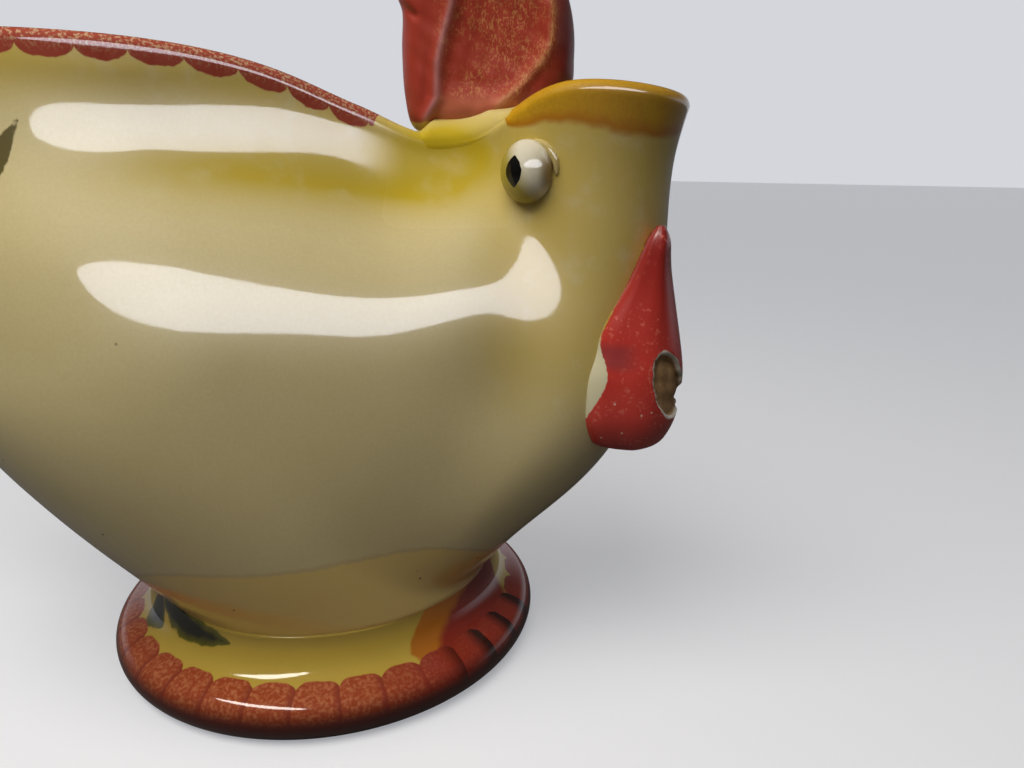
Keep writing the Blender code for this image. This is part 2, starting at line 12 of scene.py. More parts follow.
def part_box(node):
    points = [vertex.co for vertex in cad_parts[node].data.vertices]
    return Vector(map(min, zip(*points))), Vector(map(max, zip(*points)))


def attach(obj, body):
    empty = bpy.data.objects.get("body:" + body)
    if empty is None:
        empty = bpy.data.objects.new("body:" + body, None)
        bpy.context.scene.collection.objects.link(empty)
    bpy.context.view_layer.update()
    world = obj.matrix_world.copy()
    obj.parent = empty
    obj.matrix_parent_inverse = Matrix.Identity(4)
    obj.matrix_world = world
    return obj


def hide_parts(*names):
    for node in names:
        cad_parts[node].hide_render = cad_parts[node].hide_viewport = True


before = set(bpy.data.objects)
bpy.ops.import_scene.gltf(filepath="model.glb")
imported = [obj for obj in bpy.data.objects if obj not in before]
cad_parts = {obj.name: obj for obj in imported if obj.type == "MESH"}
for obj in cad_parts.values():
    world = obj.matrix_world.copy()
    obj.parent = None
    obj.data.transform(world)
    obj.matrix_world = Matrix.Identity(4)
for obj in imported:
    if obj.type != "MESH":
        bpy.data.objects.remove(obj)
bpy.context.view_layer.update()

# Foot. A turned ring of red clay under ochre glaze: a cove spreads from the bowl's seat to a rolled
# edge on the table, hollow underneath. The painter set a row of brick-red dabs round the roll, and
# brushed a dark leaf and a red petal over the cove.
MM = 0.001
foot_low, foot_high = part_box("pedestal_foot")
AXIS_X = (foot_low[0] + foot_high[0]) / 2  # every form is drawn in millimetres about the foot's axis
FOOT_HEIGHT, SEAT_RADIUS, FOOT_RADIUS = 22.5, 49.2, 62.6
ROLL_RADIUS, ROLL_HEIGHT = 5.8, 5.4
FOOT_DABS, FOOT_DAB_TURN = 33, 0.571
DAB_TOP, DAB_CUSP = 10.6, 12.6  # along the profile from the seat
FOOT_STEPS, FOOT_SWAY = 320, 0.004
HOLLOW_RADIUS, HOLLOW_TOP, PLUG_TOP = 50.3, 15.2, 19.0
LEAF_RADIUS = 56.0  # the cove's usual radius, for lengths round the foot
SPINDLE, WELD = 0.001, 0.00005  # in metres: circle that carries the profile round, and points made one
GLAZE_IOR = 1.6
MATH, RAMP, NOISE, FIELD = "ShaderNodeMath", "ShaderNodeMapRange", "ShaderNodeTexNoise", "ShaderNodeAttribute"
SOFT = {"interpolation_type": "SMOOTHSTEP"}  # a ramp with soft ends


def node(tree, kind, inputs=(), out=0, **settings):
    """Adds a node; inputs are links, hex colours, values or None, by place or by name.
    Gives one output, or all of them where out is None."""
    made = tree.nodes.new(kind)
    for key, value in settings.items():
        setattr(made, key, value)
    for key, source in inputs.items() if isinstance(inputs, dict) else enumerate(inputs):
        if isinstance(source, bpy.types.NodeSocket):
            tree.links.new(source, made.inputs[key])
        elif isinstance(source, str) and source.startswith("#"):
            made.inputs[key].default_value = linear(source)
        elif source is not None:
            made.inputs[key].default_value = source
    return made.outputs if out is None else made.outputs[out]


def linear(code):
    """Linear colour of an sRGB hex value."""
    parts = [int(code[i:i + 2], 16) / 255 for i in (1, 3, 5)]
    return (*[p / 12.92 if p <= 0.04045 else ((p + 0.055) / 1.055) ** 2.4 for p in parts], 1.0)


def coats(tree, ground, *layers):
    """Colour of the ground with coats brushed over it; each layer is how much it covers and its colour."""
    for share, colour in layers:
        ground = node(tree, "ShaderNodeMix", {0: share, 6: ground, 7: colour}, 2, data_type="RGBA")
    return ground


def new_glaze(name, roughness):
    """Glassy coat over fired clay: the material, its tree, its shader and the place on the boat in mm."""
    material = bpy.data.materials.new(name)
    material.use_nodes = True
    tree = material.node_tree
    shader = tree.nodes["Principled BSDF"]
    shader.inputs["Roughness"].default_value = roughness
    shader.inputs["IOR"].default_value = GLAZE_IOR
    place = node(tree, "ShaderNodeTexCoord", out="Object")
    place = node(tree, "ShaderNodeVectorMath", (place, (AXIS_X, 0, 0)), operation="SUBTRACT")
    place = node(tree, "ShaderNodeVectorMath", (place, (1 / MM,) * 3), operation="MULTIPLY")
    return material, tree, shader, place


def fire(tree, shader, place, colour, peel=0.005, swell=0.03):
    """Gives the shader its colour and the fired skin: orange peel and a slow swell, depths in mm."""
    tree.links.new(colour, shader.inputs["Base Color"])
    fine = node(tree, NOISE, {"Vector": place, "Scale": 1 / 0.8, "Detail": 1.0})
    slow = node(tree, NOISE, {"Vector": place, "Scale": 1 / 10.0, "Detail": 1.0})
    height = node(tree, MATH, (slow, swell / peel, fine), operation="MULTIPLY_ADD")
    bump = node(tree, "ShaderNodeBump", {"Strength": 1.0, "Distance": peel * MM, "Height": height})
    tree.links.new(bump, shader.inputs["Normal"])


def close_up(mesh):
    """Turns every face outwards and shades the skin smooth."""
    bm = bmesh.new()
    bm.from_mesh(mesh)
    bmesh.ops.recalc_face_normals(bm, faces=bm.faces)
    bm.to_mesh(mesh)
    bm.free()
    mesh.shade_smooth()


def put_in_scene(name, data):
    thing = bpy.data.objects.new(name, data)
    bpy.context.scene.collection.objects.link(thing)
    return thing


def brush_on(piece, **fields):
    """Stores numbers on the points of a piece for its glaze to read."""
    for label, values in fields.items():
        layer = piece.data.attributes.new(label, "FLOAT", "POINT")
        layer.data.foreach_set("value", np.asarray(values, dtype=np.float32).ravel())


def new_tree(name, makes, **needs):
    """Geometry tree with named inputs, and what those inputs give."""
    tree = bpy.data.node_groups.new(name, "GeometryNodeTree")
    for label, kind in needs.items():
        tree.interface.new_socket(label, in_out="INPUT", socket_type="NodeSocket" + kind)
    tree.interface.new_socket(makes, in_out="OUTPUT", socket_type="NodeSocketGeometry")
    return tree, node(tree, "NodeGroupInput", out=None)


def grow(name, tree, line, girth=None, **sizes):
    """Runs a node tree over a line of points, in mm, and keeps what it makes as a plain mesh."""
    guide_mesh = bpy.data.meshes.new(name)
    guide_mesh.from_pydata((np.asarray(line) * MM).tolist(), [(k, k + 1) for k in range(len(line) - 1)], [])
    guide = put_in_scene(name + "_guide", guide_mesh)
    if girth is not None:
        brush_on(guide, girth=girth)
    modifier = guide.modifiers.new("shape", "NODES")
    modifier.node_group = tree
    for socket in tree.interface.items_tree:
        if socket.name in sizes:
            modifier[socket.identifier] = sizes[socket.name]
    shown = guide.evaluated_get(bpy.context.evaluated_depsgraph_get())
    mesh = bpy.data.meshes.new_from_object(shown)
    bpy.data.objects.remove(guide)
    mesh.name = name
    close_up(mesh)
    return put_in_scene(name, mesh)


def seat(piece, material, slot, *nodes):
    """Glazes a finished piece, lets it ride on the boat and stand for its CAD nodes."""
    piece.data.materials.clear()
    piece.data.materials.append(material)
    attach(piece, "root")
    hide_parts(*nodes)


def stroke(u, v, start, end, width):
    """Distance outside a leaf-shaped brush stroke between two places, negative inside."""
    du, dv = end[0] - start[0], end[1] - start[1]
    along = np.clip(((u - start[0]) * du + (v - start[1]) * dv) / (du * du + dv * dv), 0, 1)
    breadth = width * np.sin(math.pi * along**0.8) ** 0.8
    return np.hypot(u - start[0] - along * du, v - start[1] - along * dv) - breadth


# Lathe: a profile turned about the upright axis, with the slight sway of a hand-finished ring.
lathe, given = new_tree(
    "turned_ring", "Ring", Profile="Geometry", Steps="Int", Sway="Float", Axis="Vector", Glaze="Material",
)
section = node(lathe, "GeometryNodeMeshToCurve", (given["Profile"],))
section = node(lathe, "GeometryNodeTransform", {"Geometry": section, "Translation": (-SPINDLE, 0.0, 0.0)})
circle = node(lathe, "GeometryNodeCurvePrimitiveCircle", {"Resolution": given["Steps"], "Radius": SPINDLE})
ring = node(lathe, "GeometryNodeCurveToMesh", {"Curve": circle, "Profile Curve": section})
ring = node(lathe, "GeometryNodeMergeByDistance", {"Geometry": ring, "Distance": WELD})
here = node(lathe, "GeometryNodeInputPosition")
x, y, z = node(lathe, "ShaderNodeSeparateXYZ", (here,), None)
turn = node(lathe, MATH, (y, x), operation="ARCTAN2")
wave = node(lathe, MATH, (turn, 3.0, 0.7), operation="MULTIPLY_ADD")
wave = node(lathe, MATH, (wave,), operation="SINE")
wave = node(lathe, MATH, (wave, given["Sway"]), operation="MULTIPLY")
level_place = node(lathe, "ShaderNodeVectorMath", (here, (1.0, 1.0, 0.0)), operation="MULTIPLY")
shift = node(lathe, "ShaderNodeVectorMath", {0: level_place, "Scale": wave}, operation="SCALE")
shift = node(lathe, "ShaderNodeVectorMath", (shift, given["Axis"]), operation="ADD")
ring = node(lathe, "GeometryNodeSetPosition", {"Geometry": ring, "Offset": shift})
ring = node(lathe, "GeometryNodeRealizeInstances", (ring,))
ring = node(lathe, "GeometryNodeSetMaterial", {"Geometry": ring, "Material": given["Glaze"]})
node(lathe, "NodeGroupOutput", (ring,), None)

# Ochre majolica glaze, poured thick and painted over: yellow, streaky, glassy, with soft brush edges.
foot_glaze, tree, shader, place = new_glaze("ochre_majolica_glaze", 0.07)
down, leaf_at, petal_at, bloom_at = (
    node(tree, FIELD, out="Fac", attribute_name=label) for label in ("down", "leaf", "petal", "bloom")
)
x, y, z = node(tree, "ShaderNodeSeparateXYZ", (place,), None)
turn = node(tree, MATH, (y, x), operation="ARCTAN2")
broad, middling, fine = (
    node(tree, NOISE, {"Vector": place, "Scale": 1 / size, "Detail": detail})
    for size, detail in ((13.0, 3.0), (4.0, 3.0), (0.9, 5.0))
)
speckle = node(tree, RAMP, (fine, 0.40, 0.72), **SOFT)
step = node(tree, MATH, (turn, FOOT_DABS / math.tau, FOOT_DAB_TURN - 0.12), operation="MULTIPLY_ADD")
step = node(tree, MATH, (broad, 0.24, step), operation="MULTIPLY_ADD")
step = node(tree, MATH, (step,), operation="FRACT")
across = node(tree, MATH, (step, 2.0, -1.0), operation="MULTIPLY_ADD")
across = node(tree, MATH, (across,), operation="ABSOLUTE")
cusp = node(tree, MATH, (across, 4.0), operation="POWER")
edge = node(tree, MATH, (cusp, DAB_CUSP - DAB_TOP, DAB_TOP), operation="MULTIPLY_ADD")
edge = node(tree, MATH, (middling, 0.9, edge), operation="MULTIPLY_ADD")
into_dab = node(tree, MATH, (down, edge), operation="SUBTRACT")
dab = node(tree, RAMP, (into_dab, 0.25, 0.65), **SOFT)
seam = node(tree, RAMP, (step, 0.80, 0.99), **SOFT)
# Painted shade: the dabs darken to near black at the bottom of the roll, where it turns under towards the
# table.
painted_low_shade = node(tree, RAMP, (z, 10.5, 5.5), **SOFT)
ragged = node(tree, MATH, (middling, 2.4, -1.2), operation="MULTIPLY_ADD")
leaf_edge, petal_edge, bloom_edge = (
    node(tree, MATH, (stroke_at, ragged), operation="ADD") for stroke_at in (leaf_at, petal_at, bloom_at)
)
leaf_share = node(tree, RAMP, (leaf_edge, 0.3, -0.3), **SOFT)
leaf_heart = node(tree, RAMP, (leaf_edge, -0.2, -2.4), **SOFT)
petal_share = node(tree, RAMP, (petal_edge, 0.5, -0.8), **SOFT)
bloom_share = node(tree, RAMP, (bloom_edge, 0.8, -2.2), **SOFT)
# Black-brown smudges where the brush picked up a darker slip, on a few seams towards the beak.
smudge = node(tree, RAMP, (turn, -0.80, -0.62), **SOFT)
smudge_end = node(tree, RAMP, (turn, 0.05, -0.14), **SOFT)
smudge_seam = node(tree, RAMP, (step, 0.45, 0.90), **SOFT)
smudge_top = node(tree, RAMP, (z, 3.6, 6.4), **SOFT)
for limit in (smudge_end, smudge_seam, smudge_top):
    smudge = node(tree, MATH, (smudge, limit), operation="MULTIPLY")
# Painted shade: the top of the cove, tucked under the bowl's seat, is darkened to a deeper olive.
painted_seat_shade = node(tree, RAMP, (down, 5.0, 0.0, 0.0, 0.5), **SOFT)
ground = coats(
    tree, "#b49a3e", (broad, "#c3a648"), (speckle, "#bb9f42"), (painted_seat_shade, "#8a7738"),
    (petal_share, "#b06a1e"), (bloom_share, "#8a2f22"), (leaf_share, "#5d5a24"), (leaf_heart, "#1f211a"),
)
reddened = node(tree, RAMP, (turn, -1.15, -0.75, 0.0, 0.85))
brick = coats(
    tree, "#9a4427", (speckle, "#b86f47"), (seam, "#883a27"), (reddened, "#8c2c20"), (painted_low_shade, "#44120a"),
    (smudge, "#34160f"),
)
foot_colour = coats(tree, ground, (dab, brick))
fire(tree, shader, place, foot_colour)

roll_middle = FOOT_RADIUS - ROLL_RADIUS
roll_turn = np.linspace(math.radians(64), -math.asin(ROLL_HEIGHT / ROLL_RADIUS), 30)
roll = np.stack([np.cos(roll_turn), np.sin(roll_turn)], 1) * ROLL_RADIUS + (roll_middle, ROLL_HEIGHT)
cove_knots = np.array([(SEAT_RADIUS, FOOT_HEIGHT), (50.2, 13.4), roll[0] + (-5.6, 2.6), roll[0]])
t = np.linspace(0, 1, 36)[:-1, None]
cove = np.hstack([(1 - t) ** 3, 3 * t * (1 - t) ** 2, 3 * t * t * (1 - t), t**3]) @ cove_knots
hollow = np.array([
    (HOLLOW_RADIUS, 0.0), (HOLLOW_RADIUS, 2.7), (48.4, 6.0), (46.0, 9.5), (42.7, 13.7),
    (20.0, HOLLOW_TOP), (0.0, HOLLOW_TOP),
])
foot_profile = np.concatenate([[(0.0, PLUG_TOP), (46.0, PLUG_TOP)], cove, roll, hollow])
foot = grow(
    "foot_ring", lathe, np.stack([foot_profile[:, 0], -foot_profile[:, 1], 0 * foot_profile[:, 0]], 1),
    Steps=FOOT_STEPS, Sway=FOOT_SWAY, Axis=(AXIS_X, 0.0, 0.0), Glaze=foot_glaze,
)
foot_points = np.array([point.co for point in foot.data.vertices]) / MM - (AXIS_X / MM, 0.0, 0.0)
outline = np.concatenate([cove, roll])
down_at = np.concatenate([[0.0], np.cumsum(np.linalg.norm(np.diff(outline, axis=0), axis=1))])
radius, height = np.hypot(foot_points[:, 0], foot_points[:, 1]), foot_points[:, 2]
nearest = np.argmin(np.hypot(radius[:, None] - outline[:, 0], height[:, None] - outline[:, 1]), 1)
arc = np.arctan2(foot_points[:, 1], foot_points[:, 0]) * LEAF_RADIUS
leaves = np.minimum(
    stroke(arc, height, (-149.0, 19.6), (-131.0, 14.6), 4.6),
    stroke(arc, height, (-137.0, 20.4), (-101.0, 19.0), 3.8),
)
petals = stroke(arc, height, (-16.0, 22.0), (-50.0, 13.4), 9.5)
blooms = stroke(arc, height, (2.0, 19.0), (-44.0, 11.0), 8.0)
brush_on(foot, down=down_at[nearest], leaf=leaves, petal=petals, bloom=blooms)
seat(foot, foot_glaze, "glaze_ochre", "pedestal_foot")

# Shell. The bowl, the throat and the lip are slip-cast, about 5 mm thick, luted together and wiped
# smooth, so no joint shows: a boat-shaped belly, a waist, and a round throat that opens as the beak.
WALL, FLOOR, MOUTH = 5.2, 5.5, 134.5
BOWL_ROWS = [
    # height above the seat, tail, half width, widest place behind the axis, nose ahead, nose radius, waist
    (0.0, 49.2, 49.2, 0.0, 49.2, 39.4, 29.0),
    (32.0, 80.5, 60.6, 19.0, 70.0, 36.0, 29.0),
]
BELLY_ROW = np.array((63.0, 96.0, 66.5, 33.0, 82.0, 27.0, 29.0))
RIM_ROW = np.array((MOUTH, 96.0, 54.0, 51.0, 36.0, 15.0, 10.5))
SWEEP = (
    # share of the way up from belly to mouth; shares of the way in of the sides, the nose and the waist
    (0.000, 0.000, 0.000, 0.000),
    (0.168, 0.050, 0.090, 0.000),
    (0.294, 0.142, 0.210, 0.020),
    (0.406, 0.275, 0.370, 0.150),
    (0.517, 0.452, 0.550, 0.340),
    (0.629, 0.655, 0.725, 0.565),
    (0.741, 0.848, 0.870, 0.795),
    (0.867, 0.990, 0.970, 0.970),
    (0.940, 1.018, 1.000, 1.005),
    (1.000, 1.006, 1.000, 1.000),
)
BOWL_ROWS += [tuple(BELLY_ROW + (RIM_ROW - BELLY_ROW) * (u, s, s, s, n, n, w)) for u, s, n, w in SWEEP]
THROAT_ROWS = [
    # height above the seat, middle ahead of the axis, radius
    (0.0, 21.6, 14.8), (28.0, 49.8, 26.2), (58.0, 67.5, 25.2),
    (98.0, 74.2, 22.5), (119.0, 74.9, 22.7), (MOUTH, 75.6, 25.5),
]
SHEER = [
    # place ahead of the axis, height of the top edge above the seat
    (-96.0, 143.0), (-58.0, 141.5), (-32.5, 140.0), (-15.0, 137.6), (4.0, 131.8), (20.0, 124.8),
    (40.5, 122.4), (52.1, 126.0), (60.0, 131.0), (67.0, 133.8), (75.6, 134.6), (101.1, 132.4),
]
SHEER_START, BLEND = 82.0, 22.0
WAIST_X, WAIST_HALF, WAIST_END, WAIST_FADE = 40.5, 20.0, 79.0, 48.0
TAIL_SOONER = 6.5  # the wall turns in this much lower at the tail
# The top edge isn't quite level from side to side, as on any rim that was cut and wiped by hand.
EDGE_START, NEAR_EDGE_RISE, NEAR_TAIL_DIP, FAR_EDGE_DIP = 112.0, 3.1, 1.5, 1.0
LIP_SEAM = ((51.2, 150.5), (52.6, 145.5), (54.5, 139.5))
FAN, SIDE, OUT_ROWS, ROLL_ROWS, IN_ROWS = 46, 140, 112, 14, 44
HALVINGS, EVENINGS = 34, 60  # steps in the search for the wall, and in evening out its rings


def curve(rows, column, at):
    """Natural cubic spline through the rows, read at many places."""
    knots, values = np.array(rows)[:, 0], np.array(rows)[:, column]
    gap, last = np.diff(knots), len(knots) - 1
    system, right = np.eye(last + 1), np.zeros(last + 1)
    for k in range(1, last):
        system[k, k - 1:k + 2] = gap[k - 1], 2 * (gap[k - 1] + gap[k]), gap[k]
        right[k] = 6 * ((values[k + 1] - values[k]) / gap[k] - (values[k] - values[k - 1]) / gap[k - 1])
    bend = np.linalg.solve(system, right)
    at = np.clip(at, knots[0], knots[-1])
    k = np.clip(np.searchsorted(knots, at) - 1, 0, last - 1)
    left, ahead = at - knots[k], knots[k + 1] - at
    low = (values[k] / gap[k] - bend[k] * gap[k] / 6) * ahead
    high = (values[k + 1] / gap[k] - bend[k + 1] * gap[k] / 6) * left
    return low + high + (bend[k] * ahead**3 + bend[k + 1] * left**3) / (6 * gap[k])


def oval(x, y, a, b):
    """Distance outside an oval with half sizes a and b, negative inside."""
    ring = np.sqrt((x / a) ** 2 + (y / b) ** 2) + 1e-9
    return ring * (ring - 1) / (np.sqrt((x / a**2) ** 2 + (y / b**2) ** 2) + 1e-6)


def melt(a, b):
    """Smaller of two distances, with a soft turn where they cross."""
    turn = np.maximum(BLEND - np.abs(a - b), 0) / BLEND
    return np.minimum(a, b) - turn**3 * BLEND / 6


def hump(value, middle, width):
    return np.exp(-(((value - middle) / width) ** 2))


def rise_between(value, low, high):
    """0 at low and 1 at high with soft ends; low may be the larger one."""
    t = np.clip((value - low) / (high - low), 0, 1)
    return t * t * (3 - 2 * t)


def form(x, y, height):
    """Distance outside the shell at a height above the seat, negative inside."""
    read_at = height + TAIL_SOONER * rise_between(x, 24.0, -30.0) * rise_between(height, 92.0, 116.0)
    tail, half, setback, front, nose, waist_half = (curve(BOWL_ROWS, c, read_at) for c in range(1, 7))
    bx, by = x + setback, np.abs(y)
    length = front - nose + setback
    lean = (half - nose) / length
    level = np.sqrt(1 - lean * lean)
    along = level * bx - lean * by
    stem = np.where(along > level * length, np.hypot(bx - length, by) - nose, level * by + lean * bx - half)
    bowl = np.where(along < 0, np.hypot(bx, by) - half, stem)
    bowl = np.where(bx < 0, oval(bx, by, tail - setback, half), bowl)
    under_waist = np.maximum(WAIST_END - height, 0)
    waist = oval(x - WAIST_X, y, WAIST_HALF, waist_half) + under_waist**2 / WAIST_FADE
    radius = curve(THROAT_ROWS, 2, height)
    throat = oval(x - curve(THROAT_ROWS, 1, height), y, radius, radius)
    thumbed = 0.14 * np.sin(x / 15 + y / 23 + 1.3) * np.sin(height / 19 + 0.4)
    return melt(melt(bowl, waist), throat) + thumbed + 0.06 * np.sin(x / 8 - height / 11)


def rings_at(heights, insets, lifts=0.0, share=1.0):
    """Rings of the shell at many levels, each with its own inset from the outside, evened out."""
    height, inset = np.array(heights)[:, None], np.array(insets)[:, None]
    fan = np.linspace(math.pi, math.pi / 2, FAN + 1)
    angle = np.concatenate([fan, np.full(SIDE - 1, math.pi / 2), math.pi - fan[::-1]])
    run = np.concatenate([np.zeros(FAN + 1), np.arange(1, SIDE) / SIDE, np.ones(FAN + 1)])
    back, front = -curve(BOWL_ROWS, 3, height), curve(THROAT_ROWS, 1, height)
    start = back + (front - back) * run
    dx, dy = np.cos(angle), -np.sin(angle)
    near, far = np.zeros_like(start), np.full_like(start, 200.0)
    for _ in range(HALVINGS):
        mid = (near + far) / 2
        within = form(start + mid * dx, mid * dy, height + 0 * mid) < -inset
        near, far = np.where(within, mid, near), np.where(within, far, mid)
    x, y = start + near * dx, near * dy
    y[:, [0, -1]] = 0.0
    x = np.concatenate([x, x[:, -2:0:-1]], 1)
    y = np.concatenate([y, -y[:, -2:0:-1]], 1)
    for k in range(EVENINGS):
        pull = 0.5 if k % 2 == 0 else -0.505
        x = x + pull * ((np.roll(x, 1, 1) + np.roll(x, -1, 1)) / 2 - x)
        y = y + pull * ((np.roll(y, 1, 1) + np.roll(y, -1, 1)) / 2 - y)
    z = FOOT_HEIGHT + height + (curve(SHEER, 1, x) - MOUTH) * rise_between(height, SHEER_START, MOUTH)
    near_edge = NEAR_EDGE_RISE * rise_between(x, -46.0, 10.0) * rise_between(x, 36.0, 18.0)
    near_edge = near_edge - NEAR_TAIL_DIP * hump(x, -66.0, 15.0)
    uneven = np.where(y < 0, near_edge, -FAR_EDGE_DIP * hump(x, 4.0, 9.0))
    z = z + uneven * rise_between(height, EDGE_START, MOUTH) + np.reshape(lifts, (-1, 1))
    share = np.reshape(share, (-1, 1))
    return np.stack([x * share, y * share, z], -1)


def lay_skin(name, rings, **fields):
    """Closed smooth skin through rings of points in mm; fields hold a number for each point."""
    count, size = rings.shape[:2]
    poles = np.stack([rings[0].mean(0), rings[-1].mean(0)])
    points = np.concatenate([rings.reshape(-1, 3), poles]) * MM + (AXIS_X, 0.0, 0.0)
    i, j = np.meshgrid(np.arange(count - 1), np.arange(size), indexing="ij")
    a, b = i * size + j, i * size + (j + 1) % size
    faces = np.stack([a, b, b + size, a + size], -1).reshape(-1, 4).tolist()
    first, last = count * size, (count - 1) * size
    for k in range(size):
        after = (k + 1) % size
        faces += [(first, after, k), (first + 1, last + k, last + after)]
    mesh = bpy.data.meshes.new(name)
    mesh.from_pydata(points.tolist(), [], faces)
    close_up(mesh)
    piece = put_in_scene(name, mesh)
    for label, values in fields.items():
        brush_on(piece, **{label: np.concatenate([values.ravel(), [values[0].mean(), values[-1].mean()]])})
    return piece


def off_line(x, z, line):
    """Distance in mm from a line of points."""
    best = np.full(x.shape, 1e9)
    for (ax, az), (bx, bz) in zip(line, line[1:]):
        dx, dz = bx - ax, bz - az
        t = np.clip(((x - ax) * dx + (z - az) * dz) / (dx * dx + dz * dz), 0, 1)
        best = np.minimum(best, np.hypot(x - ax - t * dx, z - az - t * dz))
    return best


rim_start = MOUTH - WALL / 2
under_lifts = FLOOR * np.array([-1, -1, -1, -0.8, -0.3])
under = rings_at([0.0] * 5, [0.0] * 5, under_lifts, np.array([0.05, 0.4, 0.75, 0.92, 0.985]))
outer = rings_at(np.linspace(0, rim_start, OUT_ROWS), np.zeros(OUT_ROWS))
over = np.radians(np.linspace(0, 180, ROLL_ROWS + 1)[1:-1])
rim = rings_at(np.full(ROLL_ROWS - 1, rim_start), WALL / 2 * (1 - np.cos(over)), WALL / 2 * np.sin(over))
inner = rings_at(np.linspace(rim_start, FLOOR * 1.5, IN_ROWS), np.full(IN_ROWS, WALL))
bottom_lifts = np.array([0, -2.2, -3.4, -4.0, -4.0, -4.0])
bottom = rings_at([4.0] * 6, [WALL] * 6, bottom_lifts, np.array([0.98, 0.93, 0.84, 0.6, 0.3, 0.05]))
shell_rings = np.concatenate([under, outer, rim, inner, bottom])
crest = len(under) + OUT_ROWS + ROLL_ROWS // 2 - 1
lengths = np.linalg.norm(np.diff(shell_rings, axis=0), axis=2)
drop = np.zeros(shell_rings.shape[:2])  # mm below the crest of the rim, negative on the inside
drop[:crest] = np.cumsum(lengths[:crest][::-1], 0)[::-1]
drop[crest + 1:] = -np.cumsum(lengths[crest:], 0)
half_count = 2 * FAN + SIDE + 1
crest_run = np.linalg.norm(np.diff(shell_rings[crest, :half_count], axis=0), axis=1)
crest_run = np.concatenate([[0], np.cumsum(crest_run)])
crest_run = np.concatenate([crest_run, crest_run[-2:0:-1]])
X, Y, Z = shell_rings[..., 0], shell_rings[..., 1], shell_rings[..., 2]
outside = drop > 0
Y += np.sign(Y) * 0.6 * outside * hump(off_line(X, Z, LIP_SEAM), 0, 0.9)
crest_x = np.broadcast_to(X[crest], drop.shape)

RIM_DAB = 10.8  # length of one dab along the edge
RED_END_NEAR, RED_END_FAR = 22.5, 11.0  # ahead of the axis, on the two sides
COLLAR_HEIGHT, COLLAR_MIDDLE = 20.5, 1.0
FAR_OFF = 20.0  # for a field that paints nothing there
GLASSY = 0.06  # roughness of the clear glaze
LIP_BAND = [
    # place of the edge ahead of the axis, depth of the amber band below it
    (48.0, 0.5), (52.0, 4.0), (56.0, 7.5), (62.0, 9.5),
    (70.0, 11.5), (80.0, 13.0), (92.0, 13.0), (101.0, 11.0),
]
lip_depth = np.where(drop >= 0, drop / curve(LIP_BAND, 1, crest_x), -drop / 6.0)
lip_depth = lip_depth + 9.0 * rise_between(crest_x, 55.0, 46.0)
rim_depth = np.where(drop >= 0, drop, -drop * 1.5)
past_red = crest_x - np.where(Y < 0, RED_END_NEAR, RED_END_FAR)
rim_depth = rim_depth + FAR_OFF * rise_between(past_red, -1.0, 2.5)


def ochre_at_place(x, z):
    """How thickly the ochre wash lies on the waist and the crown."""
    return (
        1.15 * hump(z, 136.5, 6.5) * rise_between(x, -45.0, 5.0) * rise_between(x, 46.0, 36.0)
        + 1.40 * hump(x, 40.0, 15.0) * hump(z, 139.0, 10.0)
        + 0.35 * hump(x, 22.0, 18.0) * hump(z, 131.0, 6.0)
    )


ochre = outside * ochre_at_place(X, Z)
olive = outside * (
    0.85 * hump(drop, 7.0, 7.5) * rise_between(crest_x, 40.0, 24.0)
    + 0.75 * rise_between(X, 42.0, 62.0) * rise_between(Z, 66.0, 96.0)
)
tail_leaf = np.minimum(
    stroke(X, Z, (-57.5, 121.5), (-43.6, 145.0), 3.0), stroke(X, Z, (-78.0, 80.0), (-53.0, 36.0), 4.2),
)
satin = rise_between(X, 16.0, 30.0) * rise_between(X, 62.0, 54.0) * rise_between(Z, 116.0, 126.0)
collar_run = X - COLLAR_MIDDLE
collar_fall = np.where(collar_run < 0, (collar_run / 47.0) ** 4, (collar_run / 60.0) ** 6)
collar_top = FOOT_HEIGHT + COLLAR_HEIGHT * np.clip(1 - collar_fall, 0, 1)
shell = lay_skin(
    "shell_cast", shell_rings, rim_depth=rim_depth, rim_run=np.broadcast_to(crest_run, drop.shape),
    lip_depth=lip_depth, ochre_wash=np.clip(ochre, 0, 1), olive_wash=np.clip(olive, 0, 1),
    leaf=np.where(outside, tail_leaf, FAR_OFF), collar=np.where(outside, Z - collar_top, FAR_OFF),
    satin=outside * satin,
)

# Cream tin glaze over red clay, dipped and washed with ochre: milky, mottled, glassy, with fine specks.
shell_glaze, tree, shader, place = new_glaze("cream_tin_glaze", GLASSY)
rim_at, run_at, lip_at, ochre_at, olive_at, leaf_at, collar_at, satin_at = (
    node(tree, FIELD, out="Fac", attribute_name=label)
    for label in ("rim_depth", "rim_run", "lip_depth", "ochre_wash", "olive_wash", "leaf", "collar", "satin")
)
cloud, mottle, ragged, grain = (
    node(tree, NOISE, {"Vector": place, "Scale": 1 / size, "Detail": detail})
    for size, detail in ((26.0, 3.0), (7.0, 5.0), (2.2, 3.0), (0.7, 3.0))
)
patch = node(tree, RAMP, (mottle, 0.08, 0.52), **SOFT)
grit = node(tree, RAMP, (grain, 0.30, 0.75, 0.0, 0.35))
streaks = node(tree, RAMP, (mottle, 0.15, 0.52, 0.55, 1.0), **SOFT)
ochre_share = node(tree, MATH, (ochre_at, streaks), operation="MULTIPLY")
olive_share = node(tree, MATH, (olive_at, patch), operation="MULTIPLY")
collar_edge = node(tree, MATH, (ragged, 1.4, collar_at), operation="MULTIPLY_ADD")
collar_rim = node(tree, RAMP, (collar_edge, 2.0, 1.0, 0.0, 0.3))
collar_share = node(tree, RAMP, (collar_edge, 1.0, 0.0, 0.0, 0.9))
cream = coats(
    tree, "#cbbb86", (cloud, "#d6c998"), (grit, "#c2b07a"), (olive_share, "#c5aa42"),
    (ochre_share, "#bca325"), (collar_rim, "#a87b45"), (collar_share, "#dcc071"),
)
